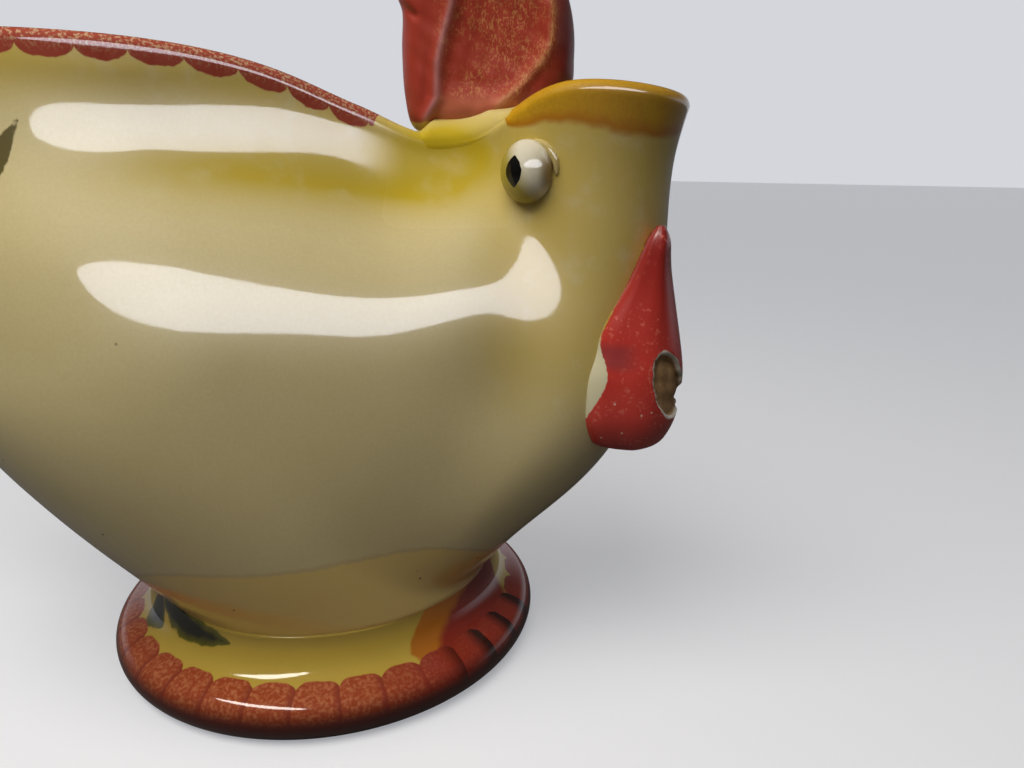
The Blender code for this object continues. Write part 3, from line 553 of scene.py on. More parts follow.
# Amber band of the lip: honey yellow on the roll, pooled to brown along its soft lower border.
lip_edge = node(tree, MATH, (mottle, 0.30, lip_at), operation="MULTIPLY_ADD")
lip_share = node(tree, RAMP, (lip_edge, 1.22, 1.04), **SOFT)
pooled = node(tree, RAMP, (lip_edge, 0.80, 1.12), **SOFT)
honey = coats(tree, "#d6a81e", (patch, "#bd8c14"), (grit, "#d8ad2a"), (pooled, "#b0700f"))
# Brick dabs along the rim, dry-brushed so that the pale ground shows through in flecks.
step = node(tree, MATH, (run_at, 1 / RIM_DAB, 0.1), operation="MULTIPLY_ADD")
step = node(tree, MATH, (cloud, 0.5, step), operation="MULTIPLY_ADD")
step = node(tree, MATH, (step,), operation="FRACT")
across = node(tree, MATH, (step, 2.0, -1.0), operation="MULTIPLY_ADD")
across = node(tree, MATH, (across, across), operation="MULTIPLY")
bulge = node(tree, MATH, (1.0, across), operation="SUBTRACT")
bulge = node(tree, MATH, (bulge,), operation="SQRT")
dab_edge = node(tree, MATH, (bulge, 2.7, 4.0), operation="MULTIPLY_ADD")
dab_edge = node(tree, MATH, (ragged, 1.1, dab_edge), operation="MULTIPLY_ADD")
dab_gap = node(tree, MATH, (rim_at, dab_edge), operation="SUBTRACT")
dab = node(tree, RAMP, (dab_gap, 0.15, -0.25), **SOFT)
fleck = node(tree, RAMP, (grain, 0.46, 0.64), **SOFT)
on_top = node(tree, RAMP, (rim_at, 6.6, 2.0), **SOFT)
fleck = node(tree, MATH, (fleck, on_top), operation="MULTIPLY")
brick = coats(tree, "#8f3526", (patch, "#9c4636"), (fleck, "#c09a78"))
leaf_edge = node(tree, MATH, (ragged, 1.6, leaf_at), operation="MULTIPLY_ADD")
leaf_share = node(tree, RAMP, (leaf_edge, 1.1, 0.6), **SOFT)
# Iron specks that came up through the glaze, one in every few square centimetres.
cell = node(tree, "ShaderNodeTexVoronoi", {"Vector": place, "Scale": 1 / 7.0}, None)
chosen = node(tree, "ShaderNodeSeparateColor", (cell["Color"],))
chosen = node(tree, RAMP, (chosen, 0.84, 0.87))
speck = node(tree, RAMP, (cell["Distance"], 0.055, 0.035))
speck = node(tree, MATH, (speck, chosen), operation="MULTIPLY")
shell_colour = coats(
    tree, cream, (lip_share, honey), (leaf_share, "#5f5427"), (dab, brick), (speck, "#4a3c22"),
)
# The wiped waist is satin; elsewhere a thin bloom over the glass gives each highlight a soft skirt.
dry = node(tree, MATH, (satin_at, 0.30, GLASSY), operation="MULTIPLY_ADD")
tree.links.new(dry, shader.inputs["Roughness"])
mirror = node(tree, MATH, (satin_at, -0.44, 0.5), operation="MULTIPLY_ADD")
tree.links.new(mirror, shader.inputs["Specular IOR Level"])
skirt = node(tree, MATH, (satin_at, -0.5, 0.5), operation="MULTIPLY_ADD")
undabbed = node(tree, MATH, (1.0, dab), operation="SUBTRACT")
skirt = node(tree, MATH, (skirt, undabbed), operation="MULTIPLY")
tree.links.new(skirt, shader.inputs["Coat Weight"])
shader.inputs["Coat Roughness"].default_value = 0.36
fire(tree, shader, place, shell_colour)
seat(shell, shell_glaze, "glaze_cream", "body_bowl", "neck_spout", "spout_lip")
window_pieces = [shell]

# Crown. A pad of clay bent over the waist, between the bowl's opening and the mouth. Its edges were
# wiped into both walls with a wet thumb, and the shell's glaze and ochre wash run over it.
CROWN_REAR, CROWN_FRONT, CROWN_STATIONS = 30.5, 57.0, 64
CROWN_LAP, CROWN_RISE, CROWN_SWELL, CROWN_SINK = 7.5, 4.4, 0.10, 0.6
crown_rings = []
near_x = X[crest, :half_count]
for at_x in np.linspace(CROWN_REAR, CROWN_FRONT, CROWN_STATIONS):
    column = np.interp(at_x, near_x, np.arange(half_count))
    low, share = int(column), column - int(column)
    wall = shell_rings[:crest + 1, low] * (1 - share) + shell_rings[:crest + 1, low + 1] * share
    depth = drop[:crest + 1, low] * (1 - share) + drop[:crest + 1, low + 1] * share
    begun = rise_between(at_x, CROWN_REAR, CROWN_REAR + 5.0)
    full = begun * rise_between(at_x, CROWN_FRONT, CROWN_FRONT - 9.0)
    proud = CROWN_SWELL * begun * rise_between(at_x, 53.0, 40.0)
    laps = np.linspace(CROWN_LAP, WALL / 4 * math.pi + 0.1, 24)
    up_wall = np.stack([np.interp(-laps, -depth, wall[:, c]) for c in range(3)], 1)
    smoothed = ((CROWN_LAP - laps) / (CROWN_LAP - laps[-1])) ** 2
    sunk_edge = CROWN_SINK * rise_between(laps, CROWN_LAP - 2.5, CROWN_LAP)
    up_wall[:, 1] -= 0.03 * full + proud * smoothed - 0.35 * (1 - full) - sunk_edge
    edge_x, edge_y, edge_z = up_wall[-1]
    swing = np.linspace(0, math.pi, 49)[1:-1]
    arch_z = edge_z + (WALL / 2 + CROWN_RISE * full) * np.sin(swing) ** 0.9
    arch = np.stack([edge_x + 0 * swing, edge_y * np.cos(swing), arch_z], 1)
    back_y = np.linspace(-edge_y - 2.0, edge_y + 2.0, 24)
    underside = np.stack([edge_x + 0 * back_y, back_y, edge_z - 1.5 + 0 * back_y], 1)
    crown_rings.append(np.concatenate([up_wall, arch, up_wall[::-1] * (1, -1, 1), underside]))
crown_rings = np.array(crown_rings)
bare = np.zeros(crown_rings.shape[:2])
crown_x, crown_z = crown_rings[..., 0], crown_rings[..., 2]
crown = lay_skin(
    "crown_pad", crown_rings, rim_depth=bare + FAR_OFF, rim_run=bare, lip_depth=bare + FAR_OFF,
    leaf=bare + FAR_OFF, collar=bare + FAR_OFF, satin=bare + 1,
    ochre_wash=np.clip(ochre_at_place(crown_x, crown_z), 0, 1),
    olive_wash=0.75 * rise_between(crown_x, 42.0, 62.0),
)
seat(crown, shell_glaze, "glaze_ochre", "crown_bridge")

# Comb. A thick fan of clay pressed by hand: a bevelled rear lobe behind a ridge, a thumb hollow with
# a ledge under it, and a front lobe that turns away; luted into the crown.
COMB_MIDDLE, THUMB_MIDDLE, THUMB_RADIUS = np.array((47.5, 166.0)), (49.5, 168.0), 14.0
COMB_HALF_THICKNESS, COMB_EDGE_ROUND = 7.4, 7.0
REAR_RIDGE_RISE, FRONT_RIDGE_RISE, BASE_RISE = 1.7, 1.2, 0.8
THUMB_DEPTH, LEDGE_DEPTH, FOLD_DEPTH = 1.7, 0.3, 0.8
COMB_OUTLINE = np.array([
    (36.0, 145.0), (28.8, 146.4), (26.5, 154.0), (25.9, 165.0), (26.2, 174.0), (24.9, 179.0), (27.5, 184.5),
    (32.0, 186.0), (35.6, 185.0), (38.5, 189.0), (42.5, 192.6), (47.0, 191.5), (50.0, 189.0), (54.0, 192.0),
    (58.5, 192.4), (62.0, 188.0), (65.5, 184.0), (68.4, 178.0), (70.0, 171.0), (70.3, 164.0), (69.8, 157.5),
    (65.0, 152.0), (56.0, 147.0), (46.0, 144.6),
])
REAR_RIDGE = ((40.5, 182.0), (39.9, 175.0), (38.0, 169.0), (36.4, 162.0), (36.2, 153.5), (33.0, 148.0))
FRONT_RIDGE = (
    (64.4, 184.0), (65.0, 173.0), (64.8, 167.0), (62.5, 162.6), (59.5, 159.5), (57.0, 156.5), (52.0, 152.0),
)
LEDGE = ((38.5, 158.0), (46.0, 156.6), (54.0, 157.0))
FOLD = ((25.5, 177.5), (28.0, 174.5), (30.5, 172.8))


def closed_curve(points, count):
    """Smooth closed curve through the points."""
    size = len(points)
    t = np.linspace(0, size, count, endpoint=False)
    i = np.floor(t).astype(int)
    f = (t - i)[:, None]
    a, b, c, d = (points[(i + k) % size] for k in (-1, 0, 1, 2))
    return 0.5 * (2 * b + (c - a) * f + (2 * a - 5 * b + 4 * c - d) * f**2 + (3 * b - a - 3 * c + d) * f**3)


comb_edge = closed_curve(COMB_OUTLINE, 240)
reach = np.linalg.norm(comb_edge - COMB_MIDDLE, axis=1)
shares = 1 - np.linspace(0, 0.99, 60) ** 1.6
flat = COMB_MIDDLE + (comb_edge - COMB_MIDDLE)[None] * shares[:, None, None]
cx, cz = flat[..., 0], flat[..., 1]
from_edge = (1 - shares)[:, None] * reach[None]
pillow = np.sqrt(np.clip(1 - (1 - np.clip(from_edge / COMB_EDGE_ROUND, 0, 1)) ** 2, 0, 1))
dish = np.clip(1 - (np.hypot(cx - THUMB_MIDDLE[0], cz - THUMB_MIDDLE[1]) / THUMB_RADIUS) ** 2, 0, 1)
relief = (
    COMB_HALF_THICKNESS
    + REAR_RIDGE_RISE * hump(off_line(cx, cz, REAR_RIDGE), 0, 1.7)
    + FRONT_RIDGE_RISE * hump(off_line(cx, cz, FRONT_RIDGE), 0, 1.9)
    - THUMB_DEPTH * dish
    - LEDGE_DEPTH * hump(off_line(cx, cz, LEDGE), 0, 2.0)
    - FOLD_DEPTH * hump(off_line(cx, cz, FOLD), 0, 0.9)
    + BASE_RISE * hump(cz, 151.5, 4.0) * rise_between(cx, 36.0, 42.0)
    + 0.16 * np.sin(cx / 2.3 + cz / 4.1) * np.sin(cz / 3.1 - cx / 6.0)
    + 0.10 * np.sin(cx * 1.1 + cz * 0.4) * np.sin(cz * 0.8 - cx * 0.3)
)
half = pillow * relief
comb_rings = np.concatenate([np.stack([cx, -half, cz], -1)[::-1], np.stack([cx, half, cz], -1)[1:]])
# The rear ridge line carries a painted highlight, a pale lilac streak; the front ridge line is rubbed wear.
rear_line, front_line = (hump(off_line(cx, cz, line), 0, 0.9) for line in (REAR_RIDGE, FRONT_RIDGE))
ridge_highlight_field, worn_field = (np.concatenate([f[::-1], f[1:]]) for f in (rear_line, front_line))
comb = lay_skin("comb_fan", comb_rings, ridge=0.45 * ridge_highlight_field, worn=0.6 * worn_field)

# Brick-red slip under clear glaze, dry-brushed in short strokes, so the pale ground shows as flecks.
comb_glaze, tree, shader, place = new_glaze("brushed_red_glaze", 0.42)
x, y, z = node(tree, "ShaderNodeSeparateXYZ", (place,), None)
drawn = node(tree, "ShaderNodeVectorMath", (place, (1 / 0.6, 1 / 0.6, 1 / 1.1)), operation="MULTIPLY")
bristle = node(tree, NOISE, {"Vector": drawn, "Scale": 1.0, "Detail": 6.0, "Distortion": 1.2})
patch = node(tree, NOISE, {"Vector": place, "Scale": 1 / 9.0, "Detail": 3.0})
ahead_of_ridge = node(tree, RAMP, (x, 34.5, 38.0), **SOFT)
thin = node(tree, RAMP, (patch, 0.36, 0.62, 0.0, 0.60))
thin = node(tree, MATH, (thin, ahead_of_ridge), operation="MULTIPLY")
fleck = node(tree, RAMP, (bristle, 0.50, 0.62), **SOFT)
fleck = node(tree, MATH, (fleck, thin), operation="MULTIPLY")
worn_low = node(tree, MATH, (patch, 5.0, z), operation="MULTIPLY_ADD")
worn_low = node(tree, RAMP, (worn_low, 158.5, 154.5), **SOFT)
worn_low = node(tree, MATH, (worn_low, ahead_of_ridge), operation="MULTIPLY")
# Painted shade: the front lobe, which turns away from the light, is darkened to deep red.
front_lobe_painted_shade = node(tree, RAMP, (x, 64.5, 68.5), **SOFT)
unpainted = node(tree, MATH, (patch, 3.0, z), operation="MULTIPLY_ADD")
unpainted = node(tree, RAMP, (unpainted, 149.6, 149.1))
# Painted highlight along the rear ridge, in pale lilac.
ridge_highlight_at, worn_at = (node(tree, FIELD, out="Fac", attribute_name=label) for label in ("ridge", "worn"))
brushed = node(tree, RAMP, (bristle, 0.40, 0.60, 0.25, 1.0), **SOFT)
worn_at = node(tree, MATH, (worn_at, brushed), operation="MULTIPLY")
comb_colour = coats(
    tree, "#962f20", (patch, "#a03d2d"), (fleck, "#c48c54"), (worn_low, "#b8644a"), (front_lobe_painted_shade, "#6d1d14"),
    (ridge_highlight_at, "#b08a8c"), (worn_at, "#c79a62"), (unpainted, "#bda04a"),
)
fire(tree, shader, place, comb_colour)
seat(comb, comb_glaze, "glaze_red", "comb")

# Eyes. A ball of white clay pressed on each side of the throat, a slit pupil painted on the side that
# looks back, and a thin coil of clay bent round the beak's side of it as the lid.
EYE_HEIGHT, EYE_BEARING = 113.6, math.radians(37.6)
EYE_RADIUS, EYE_BULGE, LID_RADIUS = 7.1, 6.0, 0.95
PUPIL_ASIDE, PUPIL_HALF_WIDTH, PUPIL_HALF_HEIGHT = -0.25, 2.2, 3.8
columns = shell_rings.shape[1]
row, col = np.meshgrid(np.arange(crest - len(under) - 1), np.arange(columns), indexing="ij")
corner, beside = row * columns + col, row * columns + (col + 1) % columns
wall_faces = np.stack([corner, beside, beside + columns, corner + columns], -1).reshape(-1, 4)
wall_tree = BVHTree.FromPolygons(shell_rings[len(under):crest].reshape(-1, 3).tolist(), wall_faces.tolist())


def on_wall(height, bearing, side):
    """Place and outward direction on the throat; the bearing runs from square aside to the front."""
    start = Vector((float(curve(THROAT_ROWS, 1, np.array([height]))[0]), 0, FOOT_HEIGHT + height))
    way = Vector((math.sin(bearing), side * math.cos(bearing), 0))
    spot, normal, _, _ = wall_tree.ray_cast(start, way)
    return spot, normal if normal.dot(way) > 0 else -normal


# Coil: clay rolled between the palms and laid along a line, thinner where its girth is less.
coil, given = new_tree(
    "rolled_coil", "Coil", Line="Geometry", Thickness="Float", Breadth="Float", Sides="Int", Glaze="Material",
)
line = node(coil, "GeometryNodeMeshToCurve", (given["Line"],))
line = node(coil, "GeometryNodeSetCurveNormal", (line,), mode="MINIMUM_TWIST")
girth = node(coil, "GeometryNodeInputNamedAttribute", {"Name": "girth"}, data_type="FLOAT")
section = node(coil, "GeometryNodeCurvePrimitiveCircle", {"Resolution": given["Sides"], "Radius": 1.0})
size = node(coil, "ShaderNodeCombineXYZ", (given["Breadth"], given["Thickness"], 1.0))
section = node(coil, "GeometryNodeTransform", {"Geometry": section, "Scale": size})
rolled = {"Curve": line, "Profile Curve": section, "Scale": girth, "Fill Caps": True}
rolled = node(coil, "GeometryNodeCurveToMesh", rolled)
rolled = node(coil, "GeometryNodeRealizeInstances", (rolled,))
rolled = node(coil, "GeometryNodeSetMaterial", {"Geometry": rolled, "Material": given["Glaze"]})
node(coil, "NodeGroupOutput", (rolled,), None)

# White glaze of the eye, thick and glassy, with the black pupil and a yellow wash brushed under it.
eye_glaze, tree, shader, place = new_glaze("white_eye_glaze", GLASSY)
aside, upward = (node(tree, FIELD, out="Fac", attribute_name=label) for label in ("eye_aside", "eye_up"))
cloud = node(tree, NOISE, {"Vector": place, "Scale": 1 / 4.0, "Detail": 3.0})
ragged = node(tree, NOISE, {"Vector": place, "Scale": 1.0, "Detail": 2.0})
low_rear = node(tree, MATH, (upward, 0.55, aside), operation="MULTIPLY_ADD")
yellowed = node(tree, RAMP, (low_rear, 3.0, -1.2, 0.0, 0.95))
# Brown on the beak side of the ball, in the crease under the lid: pooled glaze, and painted shade in the
# crease.
beak_side_pool_and_shade = node(tree, RAMP, (aside, 4.9, 6.9), **SOFT)
lens = node(tree, MATH, (upward, PUPIL_HALF_HEIGHT), operation="DIVIDE")
lens = node(tree, MATH, (lens, lens), operation="MULTIPLY")
lens = node(tree, MATH, (lens, -PUPIL_HALF_WIDTH, PUPIL_HALF_WIDTH), operation="MULTIPLY_ADD")
off_pupil = node(tree, MATH, (aside, PUPIL_ASIDE), operation="SUBTRACT")
off_pupil = node(tree, MATH, (off_pupil,), operation="ABSOLUTE")
off_pupil = node(tree, MATH, (ragged, 0.35, off_pupil), operation="MULTIPLY_ADD")
off_pupil = node(tree, MATH, (off_pupil, lens), operation="SUBTRACT")
pupil = node(tree, RAMP, (off_pupil, 0.26, 0.12), **SOFT)
eye_colour = coats(
    tree, "#d2cbb0", (cloud, "#dfd9c6"), (yellowed, "#9c8c28"), (beak_side_pool_and_shade, "#8a6a2a"), (pupil, "#0d0c0a"),
)
fire(tree, shader, place, eye_colour, peel=0.002, swell=0.01)

# Lid: the shell's cream glaze, thin, clouded with ochre.
lid_glaze, tree, shader, place = new_glaze("cream_lid_glaze", GLASSY)
cloud = node(tree, NOISE, {"Vector": place, "Scale": 1 / 3.0, "Detail": 3.0})
lid_colour = coats(tree, "#cdbd88", (cloud, "#b59c4e"))
fire(tree, shader, place, lid_colour, peel=0.002, swell=0.01)

LID_FROM, LID_TO, LID_POINTS = math.radians(78), math.radians(-6), 64
for name, side in (("right", -1), ("left", 1)):
    spot, normal = on_wall(EYE_HEIGHT, -EYE_BEARING, side)
    up = (Vector((0, 0, 1)) - normal * normal.z).normalized()
    ahead = (Vector((1, 0, 0)) - normal * normal.x).normalized()
    lat = np.linspace(-0.35 * math.pi, 0.5 * math.pi, 44)[:-1, None]
    lon = np.linspace(0, math.tau, 72, endpoint=False)[None]
    right_part = EYE_RADIUS * 0.93 * np.cos(lat) * np.cos(lon)
    up_part = EYE_RADIUS * 1.07 * np.cos(lat) * np.sin(lon)
    out_part = EYE_BULGE * np.sin(lat) + 0 * lon
    ball = np.array(spot + normal * (EYE_BULGE / 4))
    for part, way in ((right_part, ahead), (up_part, up), (out_part, normal)):
        ball = ball + part[..., None] * np.array(way)
    eye = lay_skin(f"eye_{name}_ball", ball, eye_aside=right_part, eye_up=up_part)
    seat(eye, eye_glaze, "glaze_white", f"eye_{name}")
    window_pieces.append(eye)

    lid_line = []
    for angle in np.linspace(LID_FROM, LID_TO, LID_POINTS):
        around = spot + (up * math.sin(angle) * 1.05 + ahead * math.cos(angle)) * (EYE_RADIUS + 0.25)
        seat_spot, facing, _, _ = wall_tree.find_nearest(around)
        facing = facing if facing.dot(normal) > 0 else -facing
        lid_line.append(np.array(seat_spot + facing * LID_RADIUS * 0.35) + (AXIS_X / MM, 0.0, 0.0))
    taper = 0.12 + 0.88 * np.sin(math.pi * np.linspace(0, 1, LID_POINTS)) ** 0.6
    lid = grow(
        f"eyelid_{name}_coil", coil, lid_line, taper,
        Thickness=LID_RADIUS * MM, Breadth=LID_RADIUS * MM, Sides=24, Glaze=lid_glaze,
    )
    seat(lid, lid_glaze, "glaze_cream", f"eyelid_{name}")
    window_pieces.append(lid)

# Wattles. Two long drops of clay luted to the throat under the lip, each with a soft crest down its
# face and a slight waist; the right one has lost a flake at its edge, which bares the clay.
WATTLE = [
    # height above the table, rear edge, front edge, near side, far side
    (64.4, 86.6, 91.6, 17.6, 12.5),
    (66.2, 80.6, 95.4, 21.6, 9.5),
    (69.6, 76.6, 98.6, 25.2, 6.5),
    (73.8, 75.0, 100.3, 27.0, 5.0),
    (80.0, 74.6, 101.3, 27.6, 4.2),
    (86.0, 75.2, 101.6, 27.4, 4.2),
    (92.0, 76.6, 100.9, 26.6, 4.5),
    (99.0, 79.2, 99.6, 25.0, 5.2),
    (107.5, 84.4, 97.9, 22.8, 7.0),
    (116.8, 88.5, 96.4, 21.2, 10.0),
    (121.6, 90.8, 95.6, 19.8, 12.5),
    (123.8, 92.4, 94.4, 18.4, 15.0),
]
REAR_PAINT = [
    # height above the table, rear border of the red
    (60.0, 74.0), (73.6, 75.6), (79.5, 78.6), (84.2, 80.8), (88.7, 81.2),
    (94.2, 79.4), (98.7, 80.2), (104.0, 82.8), (112.0, 86.4), (125.0, 91.6),
]
CHIP_X, CHIP_HEIGHT, CHIP_DEPTH, NO_CHIP = 97.4, 84.6, 1.9, 9.0
POURED = 0.25  # roughness of the red glaze
fall = 0.5 + 0.5 * np.cos(math.pi * np.linspace(0, 1, 150))[:, None]
level = WATTLE[0][0] + (WATTLE[-1][0] - WATTLE[0][0]) * fall
rear_x, front_x, near_y, far_y = (curve(WATTLE, c, level) for c in (1, 2, 3, 4))
round_turn = np.linspace(0, math.tau, 140, endpoint=False)[None]
to_crest = np.abs(round_turn - math.radians(66))
swollen = 1 + 0.07 * np.maximum(1 - to_crest / 0.9, 0)
square = 1 - 0.5 * rise_between(round_turn, 1.5, 1.9) * rise_between(round_turn, 3.3, 2.9)
across_x = np.sign(np.cos(round_turn)) * np.abs(np.cos(round_turn)) ** square
across_y = np.sign(np.sin(round_turn)) * np.abs(np.sin(round_turn)) ** square
pinched = 1 - 0.05 * hump(level, 92.0, 4.0) * hump(round_turn, math.radians(130), 0.7)
wx = (rear_x + front_x) / 2 + (front_x - rear_x) / 2 * across_x * pinched
wy = (near_y + far_y) / 2 + (near_y - far_y) / 2 * across_y * swollen * pinched
wz = level + 0 * round_turn
chip = np.hypot((wx - CHIP_X + (wz - CHIP_HEIGHT) * 0.22) / 3.9, (wz - CHIP_HEIGHT) / 8.6)
chip = chip + 0.03 * np.sin(wz * 1.3) + 0.015 * np.sin(wz * 2.9 + wx * 2)
chip = np.where(wy > 10.0, chip, NO_CHIP)
lumps = 0.30 * np.sin(wz * 0.7 + wx * 1.3) * np.sin(wz * 0.5 - wx * 0.9) + 0.20 * np.sin(wz * 0.6 + wx * 0.8)

# Red glaze poured over the drop, its rear flank left cream; bare clay and a white edge at the flake.
wattle_glaze, tree, shader, place = new_glaze("poured_red_glaze", POURED)
chip_at, flank_at = (node(tree, FIELD, out="Fac", attribute_name=label) for label in ("chip", "flank"))
x, y, z = node(tree, "ShaderNodeSeparateXYZ", (place,), None)
cloud = node(tree, NOISE, {"Vector": place, "Scale": 1 / 8.0, "Detail": 3.0})
grain = node(tree, NOISE, {"Vector": place, "Scale": 1 / 1.1, "Detail": 4.0})
scuff = node(tree, RAMP, (grain, 0.54, 0.70), **SOFT)
scuff_place = node(tree, RAMP, (cloud, 0.42, 0.62), **SOFT)
scuff = node(tree, MATH, (scuff, scuff_place), operation="MULTIPLY")
cell = node(tree, "ShaderNodeTexVoronoi", {"Vector": place, "Scale": 1 / 2.4}, None)
chosen = node(tree, "ShaderNodeSeparateColor", (cell["Color"],))
chosen = node(tree, RAMP, (chosen, 0.62, 0.66))
low_half = node(tree, RAMP, (z, 91.0, 84.0), **SOFT)
pinhole = node(tree, RAMP, (cell["Distance"], 0.14, 0.09))
for limit in (chosen, low_half):
    pinhole = node(tree, MATH, (pinhole, limit), operation="MULTIPLY")
dull = node(tree, MATH, (z, 92.0), operation="SUBTRACT")
dull = node(tree, MATH, (dull,), operation="ABSOLUTE")
dull = node(tree, RAMP, (dull, 4.0, 1.8, 0.0, 0.6))
dull_rear = node(tree, RAMP, (x, 91.0, 84.0), **SOFT)
dull = node(tree, MATH, (dull, dull_rear), operation="MULTIPLY")
flank_edge = node(tree, MATH, (grain, 0.9, flank_at), operation="MULTIPLY_ADD")
unpainted = node(tree, RAMP, (flank_edge, 0.75, 0.45), **SOFT)
white_edge = node(tree, RAMP, (chip_at, 1.12, 1.08), **SOFT)
bare = node(tree, RAMP, (chip_at, 1.00, 0.95), **SOFT)
upper = node(tree, RAMP, (z, 93.0, 100.0), **SOFT)
flank_colour = coats(tree, "#cdc7a6", (upper, "#a8943c"))
# Darker red towards the top of the drop.
upper_darkening = node(tree, MATH, (cloud, 14.0, z), operation="MULTIPLY_ADD")
upper_darkening = node(tree, RAMP, (upper_darkening, 100.0, 124.0, 0.0, 0.75))
biscuit = coats(tree, "#7d5c3a", (grain, "#c09a6c"))
wattle_colour = coats(
    tree, "#b52e25", (cloud, "#c74238"), (upper_darkening, "#7e1a16"), (scuff, "#cc6052"), (dull, "#7d3a3e"),
    (pinhole, "#e0b4a4"), (unpainted, flank_colour), (white_edge, "#d9d2c4"), (bare, biscuit),
)
fire(tree, shader, place, wattle_colour)
matt = node(tree, MATH, (bare, 0.6, POURED), operation="MULTIPLY_ADD")
tree.links.new(matt, shader.inputs["Roughness"])
strip_pieces = [foot]
for name, side in (("right", -1), ("left", 1)):
    chip_here = chip if side < 0 else np.full_like(chip, NO_CHIP)
    sunk = rise_between(chip_here, 1.03, 0.93) * (CHIP_DEPTH + lumps)
    drop_rings = np.stack([wx - sunk * 0.55, side * (wy - sunk * 0.84), wz], -1)
    flank = wx - curve(REAR_PAINT, 1, wz)
    wattle = lay_skin(f"wattle_{name}_drop", drop_rings, chip=chip_here, flank=flank)
    seat(wattle, wattle_glaze, "glaze_red", f"wattle_{name}")
    strip_pieces.append(wattle)

# Handle. A strap of clay pulled by hand into a loop, luted to the tail of the rim and to the back of
# the belly, under the same cream glaze.
HANDLE_PATH = [
    # share of the way along, place behind the axis, height above the table, girth
    (0.000, -93.4, 156.5, 1.10), (0.169, -108.8, 176.5, 1.12), (0.303, -125.6, 165.9, 1.05),
    (0.448, -130.0, 144.6, 1.00), (0.771, -120.5, 97.5, 0.95), (1.000, -90.8, 80.5, 1.00),
]
HANDLE_HALF_THICKNESS, HANDLE_HALF_BREADTH = 6.0, 8.7
steps = np.linspace(0, 1, 120)
handle_x, handle_z, handle_girth = (curve(HANDLE_PATH, c, steps) for c in (1, 2, 3))

# Cream glaze on the handle, with an ochre wash where the brush ran over the strap's back.
handle_glaze, tree, shader, place = new_glaze("cream_handle_glaze", GLASSY)
cloud = node(tree, NOISE, {"Vector": place, "Scale": 1 / 20.0, "Detail": 3.0})
mottle = node(tree, NOISE, {"Vector": place, "Scale": 1 / 8.0, "Detail": 4.0})
washed = node(tree, RAMP, (mottle, 0.40, 0.75, 0.0, 0.5), **SOFT)
handle_colour = coats(tree, "#cbbb86", (cloud, "#d6c998"), (washed, "#b09236"))
fire(tree, shader, place, handle_colour)
handle = grow(
    "handle_strap", coil, np.stack([handle_x + AXIS_X / MM, 0 * steps, handle_z], 1), handle_girth,
    Thickness=HANDLE_HALF_THICKNESS * MM, Breadth=HANDLE_HALF_BREADTH * MM, Sides=48, Glaze=handle_glaze,
)
seat(handle, handle_glaze, "glaze_cream", "tail_handle")

# Table, light and camera. A plain pale sheet; a soft key close by on the upper left gives the colours,
# a window panel and a ceiling strip give the highlights, a fill lights the back. The camera stands near.
TABLE_HALF, TABLE_LIFT, TABLE_SHEET, BACKDROP = 6.0, 0.5, "#cdced1", "#d4d6db"
table_corners = [(x * TABLE_HALF, y * TABLE_HALF, 0.0) for x, y in ((-1, -1), (1, -1), (1, 1), (-1, 1))]
table_mesh = bpy.data.meshes.new("table")
table_mesh.from_pydata(table_corners, [], [(0, 1, 2, 3)])
table = put_in_scene("table", table_mesh)
# Pale laminate, matt and even: bright for the camera, darker in what the glaze mirrors and gathers.
pale, tree, shader, place = new_glaze("pale_table", 0.4)
ray = node(tree, "ShaderNodeLightPath", out=None)
table_colour = coats(tree, "#6e6c6a", (ray["Is Camera Ray"], TABLE_SHEET))
tree.links.new(table_colour, shader.inputs["Base Color"])
shader.inputs["Emission Color"].default_value = linear(BACKDROP)
lifted = node(tree, MATH, (ray["Is Camera Ray"], TABLE_LIFT), operation="MULTIPLY")
tree.links.new(lifted, shader.inputs["Emission Strength"])
table_mesh.materials.append(pale)

# Room: pale behind the boat, dim behind the camera, brighter overhead.
world = bpy.data.worlds.new("studio")
world.use_nodes = True
bpy.context.scene.world = world
tree = world.node_tree
way = node(tree, "ShaderNodeTexCoord", out="Generated")
x, y, z = node(tree, "ShaderNodeSeparateXYZ", (way,), None)
behind = node(tree, RAMP, (y, -0.1, 0.45), **SOFT)
overhead = node(tree, RAMP, (z, 0.25, 0.95), **SOFT)
ray = node(tree, "ShaderNodeLightPath", out=None)
above = node(tree, RAMP, (z, 0.10, 0.42), **SOFT)
mirrored = coats(tree, "#3a3938", (behind, "#c6c9d0"), (above, "#4c4b4a"))
room = coats(tree, "#3a3938", (overhead, "#858280"))
room = coats(tree, room, (ray["Is Glossy Ray"], mirrored), (ray["Is Camera Ray"], BACKDROP))
tree.links.new(room, tree.nodes["Background"].inputs["Color"])
tree.nodes["Background"].inputs["Strength"].default_value = 1.0
LIT_MIDDLE = Vector((AXIS_X, -0.02, 0.11))


def lamp(name, azimuth, elevation, distance, width, height, radiance, colour):
    """Soft panel placed as seen from the boat; azimuth runs from the camera's side towards the beak."""
    data = bpy.data.lights.new(name, "AREA")
    data.shape = "ELLIPSE"
    data.size, data.size_y = width, height
    data.energy = radiance * math.pi**2 / 4 * width * height
    data.color = linear(colour)[:3]
    panel = put_in_scene(name, data)
    a, e = math.radians(azimuth), math.radians(elevation)
    way = Vector((math.sin(a) * math.cos(e), -math.cos(a) * math.cos(e), math.sin(e)))
    panel.location = LIT_MIDDLE + way * distance
    panel.rotation_euler = way.to_track_quat("Z", "Y").to_euler()
    return panel


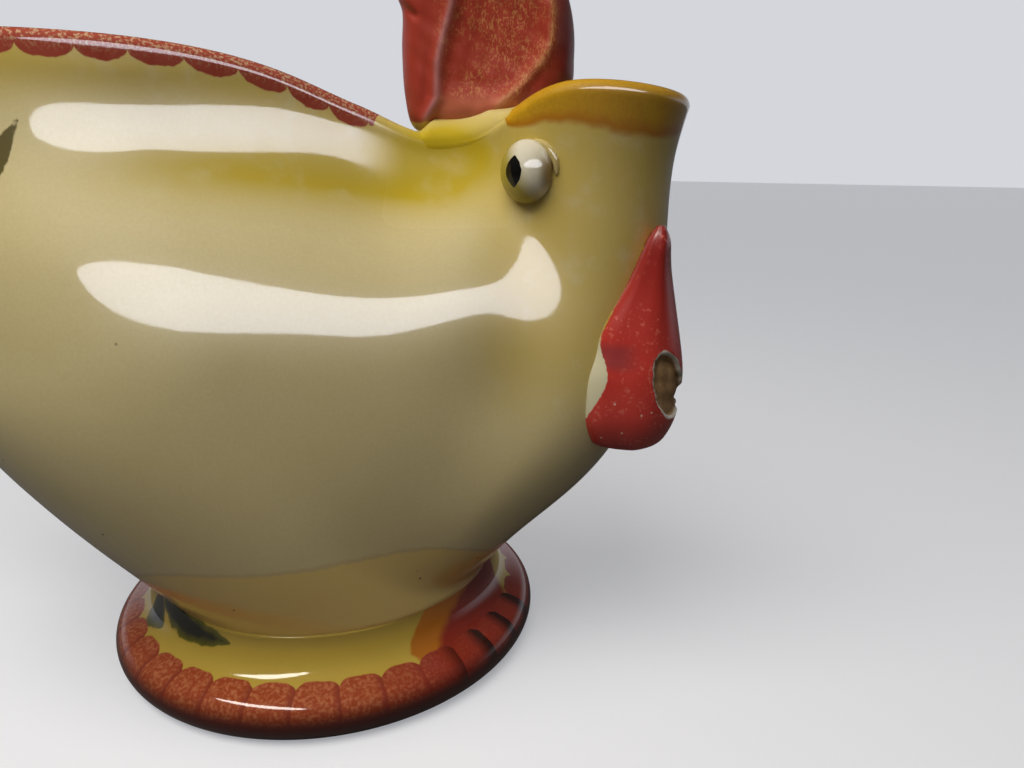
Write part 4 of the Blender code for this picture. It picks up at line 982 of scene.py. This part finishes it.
# name: azimuth, elevation, distance, width, height, radiance, colour
LAMPS = {
    "window_panel": (25, 25, 3.0, 5.0, 1.34, 7.0, "#f2f4ff"),
    "key": (-27, 59, 0.42, 0.5, 0.4, 4.5, "#fffaf3"),
    "ceiling_strip": (-42, 62, 2.0, 1.5, 0.34, 14.0, "#fffaf0"),
    "back_fill": (180, 15, 1.2, 1.6, 0.9, 1.7, "#ffffff"),
}
window_panel, key, ceiling_strip, back_fill = (lamp(name, *values) for name, values in LAMPS.items())
window_panel.visible_diffuse = ceiling_strip.visible_diffuse = False
key.visible_glossy = back_fill.visible_glossy = False
# Flags: shell, eyes and lids mirror the window, foot and wattles the strip; the fill misses the table.
all_pieces = window_pieces + strip_pieces + [crown, comb, handle]
flags = ((window_panel, window_pieces), (ceiling_strip, strip_pieces), (back_fill, all_pieces))
for panel, pieces in flags:
    lit = bpy.data.collections.new("lit_by_" + panel.name)
    for piece in pieces:
        lit.objects.link(piece)
    panel.light_linking.receiver_collection = lit

FOCAL_PIXELS, FRAME_PIXELS = 770, 1024
CAMERA_YAW, CAMERA_PITCH, CAMERA_TILT = 4.0, 16.24, 1.0
CAMERA_PLACE = Vector((70.73, -213.2, 138.86))
camera_data = bpy.data.cameras.new("camera")
camera_data.sensor_width = 36.0
camera_data.lens = FOCAL_PIXELS / FRAME_PIXELS * camera_data.sensor_width
camera_data.clip_start = 0.01
camera = put_in_scene("camera", camera_data)
yaw, pitch, tilt = (math.radians(angle) for angle in (CAMERA_YAW, CAMERA_PITCH, CAMERA_TILT))
look = Vector((-math.sin(yaw) * math.cos(pitch), math.cos(yaw) * math.cos(pitch), -math.sin(pitch)))
level_right = look.cross(Vector((0, 0, 1))).normalized()
level_up = level_right.cross(look)
right = level_right * math.cos(tilt) + level_up * math.sin(tilt)
up = level_up * math.cos(tilt) - level_right * math.sin(tilt)
stand = CAMERA_PLACE * MM + Vector((AXIS_X, 0, 0))
camera.matrix_world = Matrix.Translation(stand) @ Matrix((right, up, -look)).transposed().to_4x4()
bpy.context.scene.camera = camera
bpy.context.scene.view_settings.view_transform = "Standard"
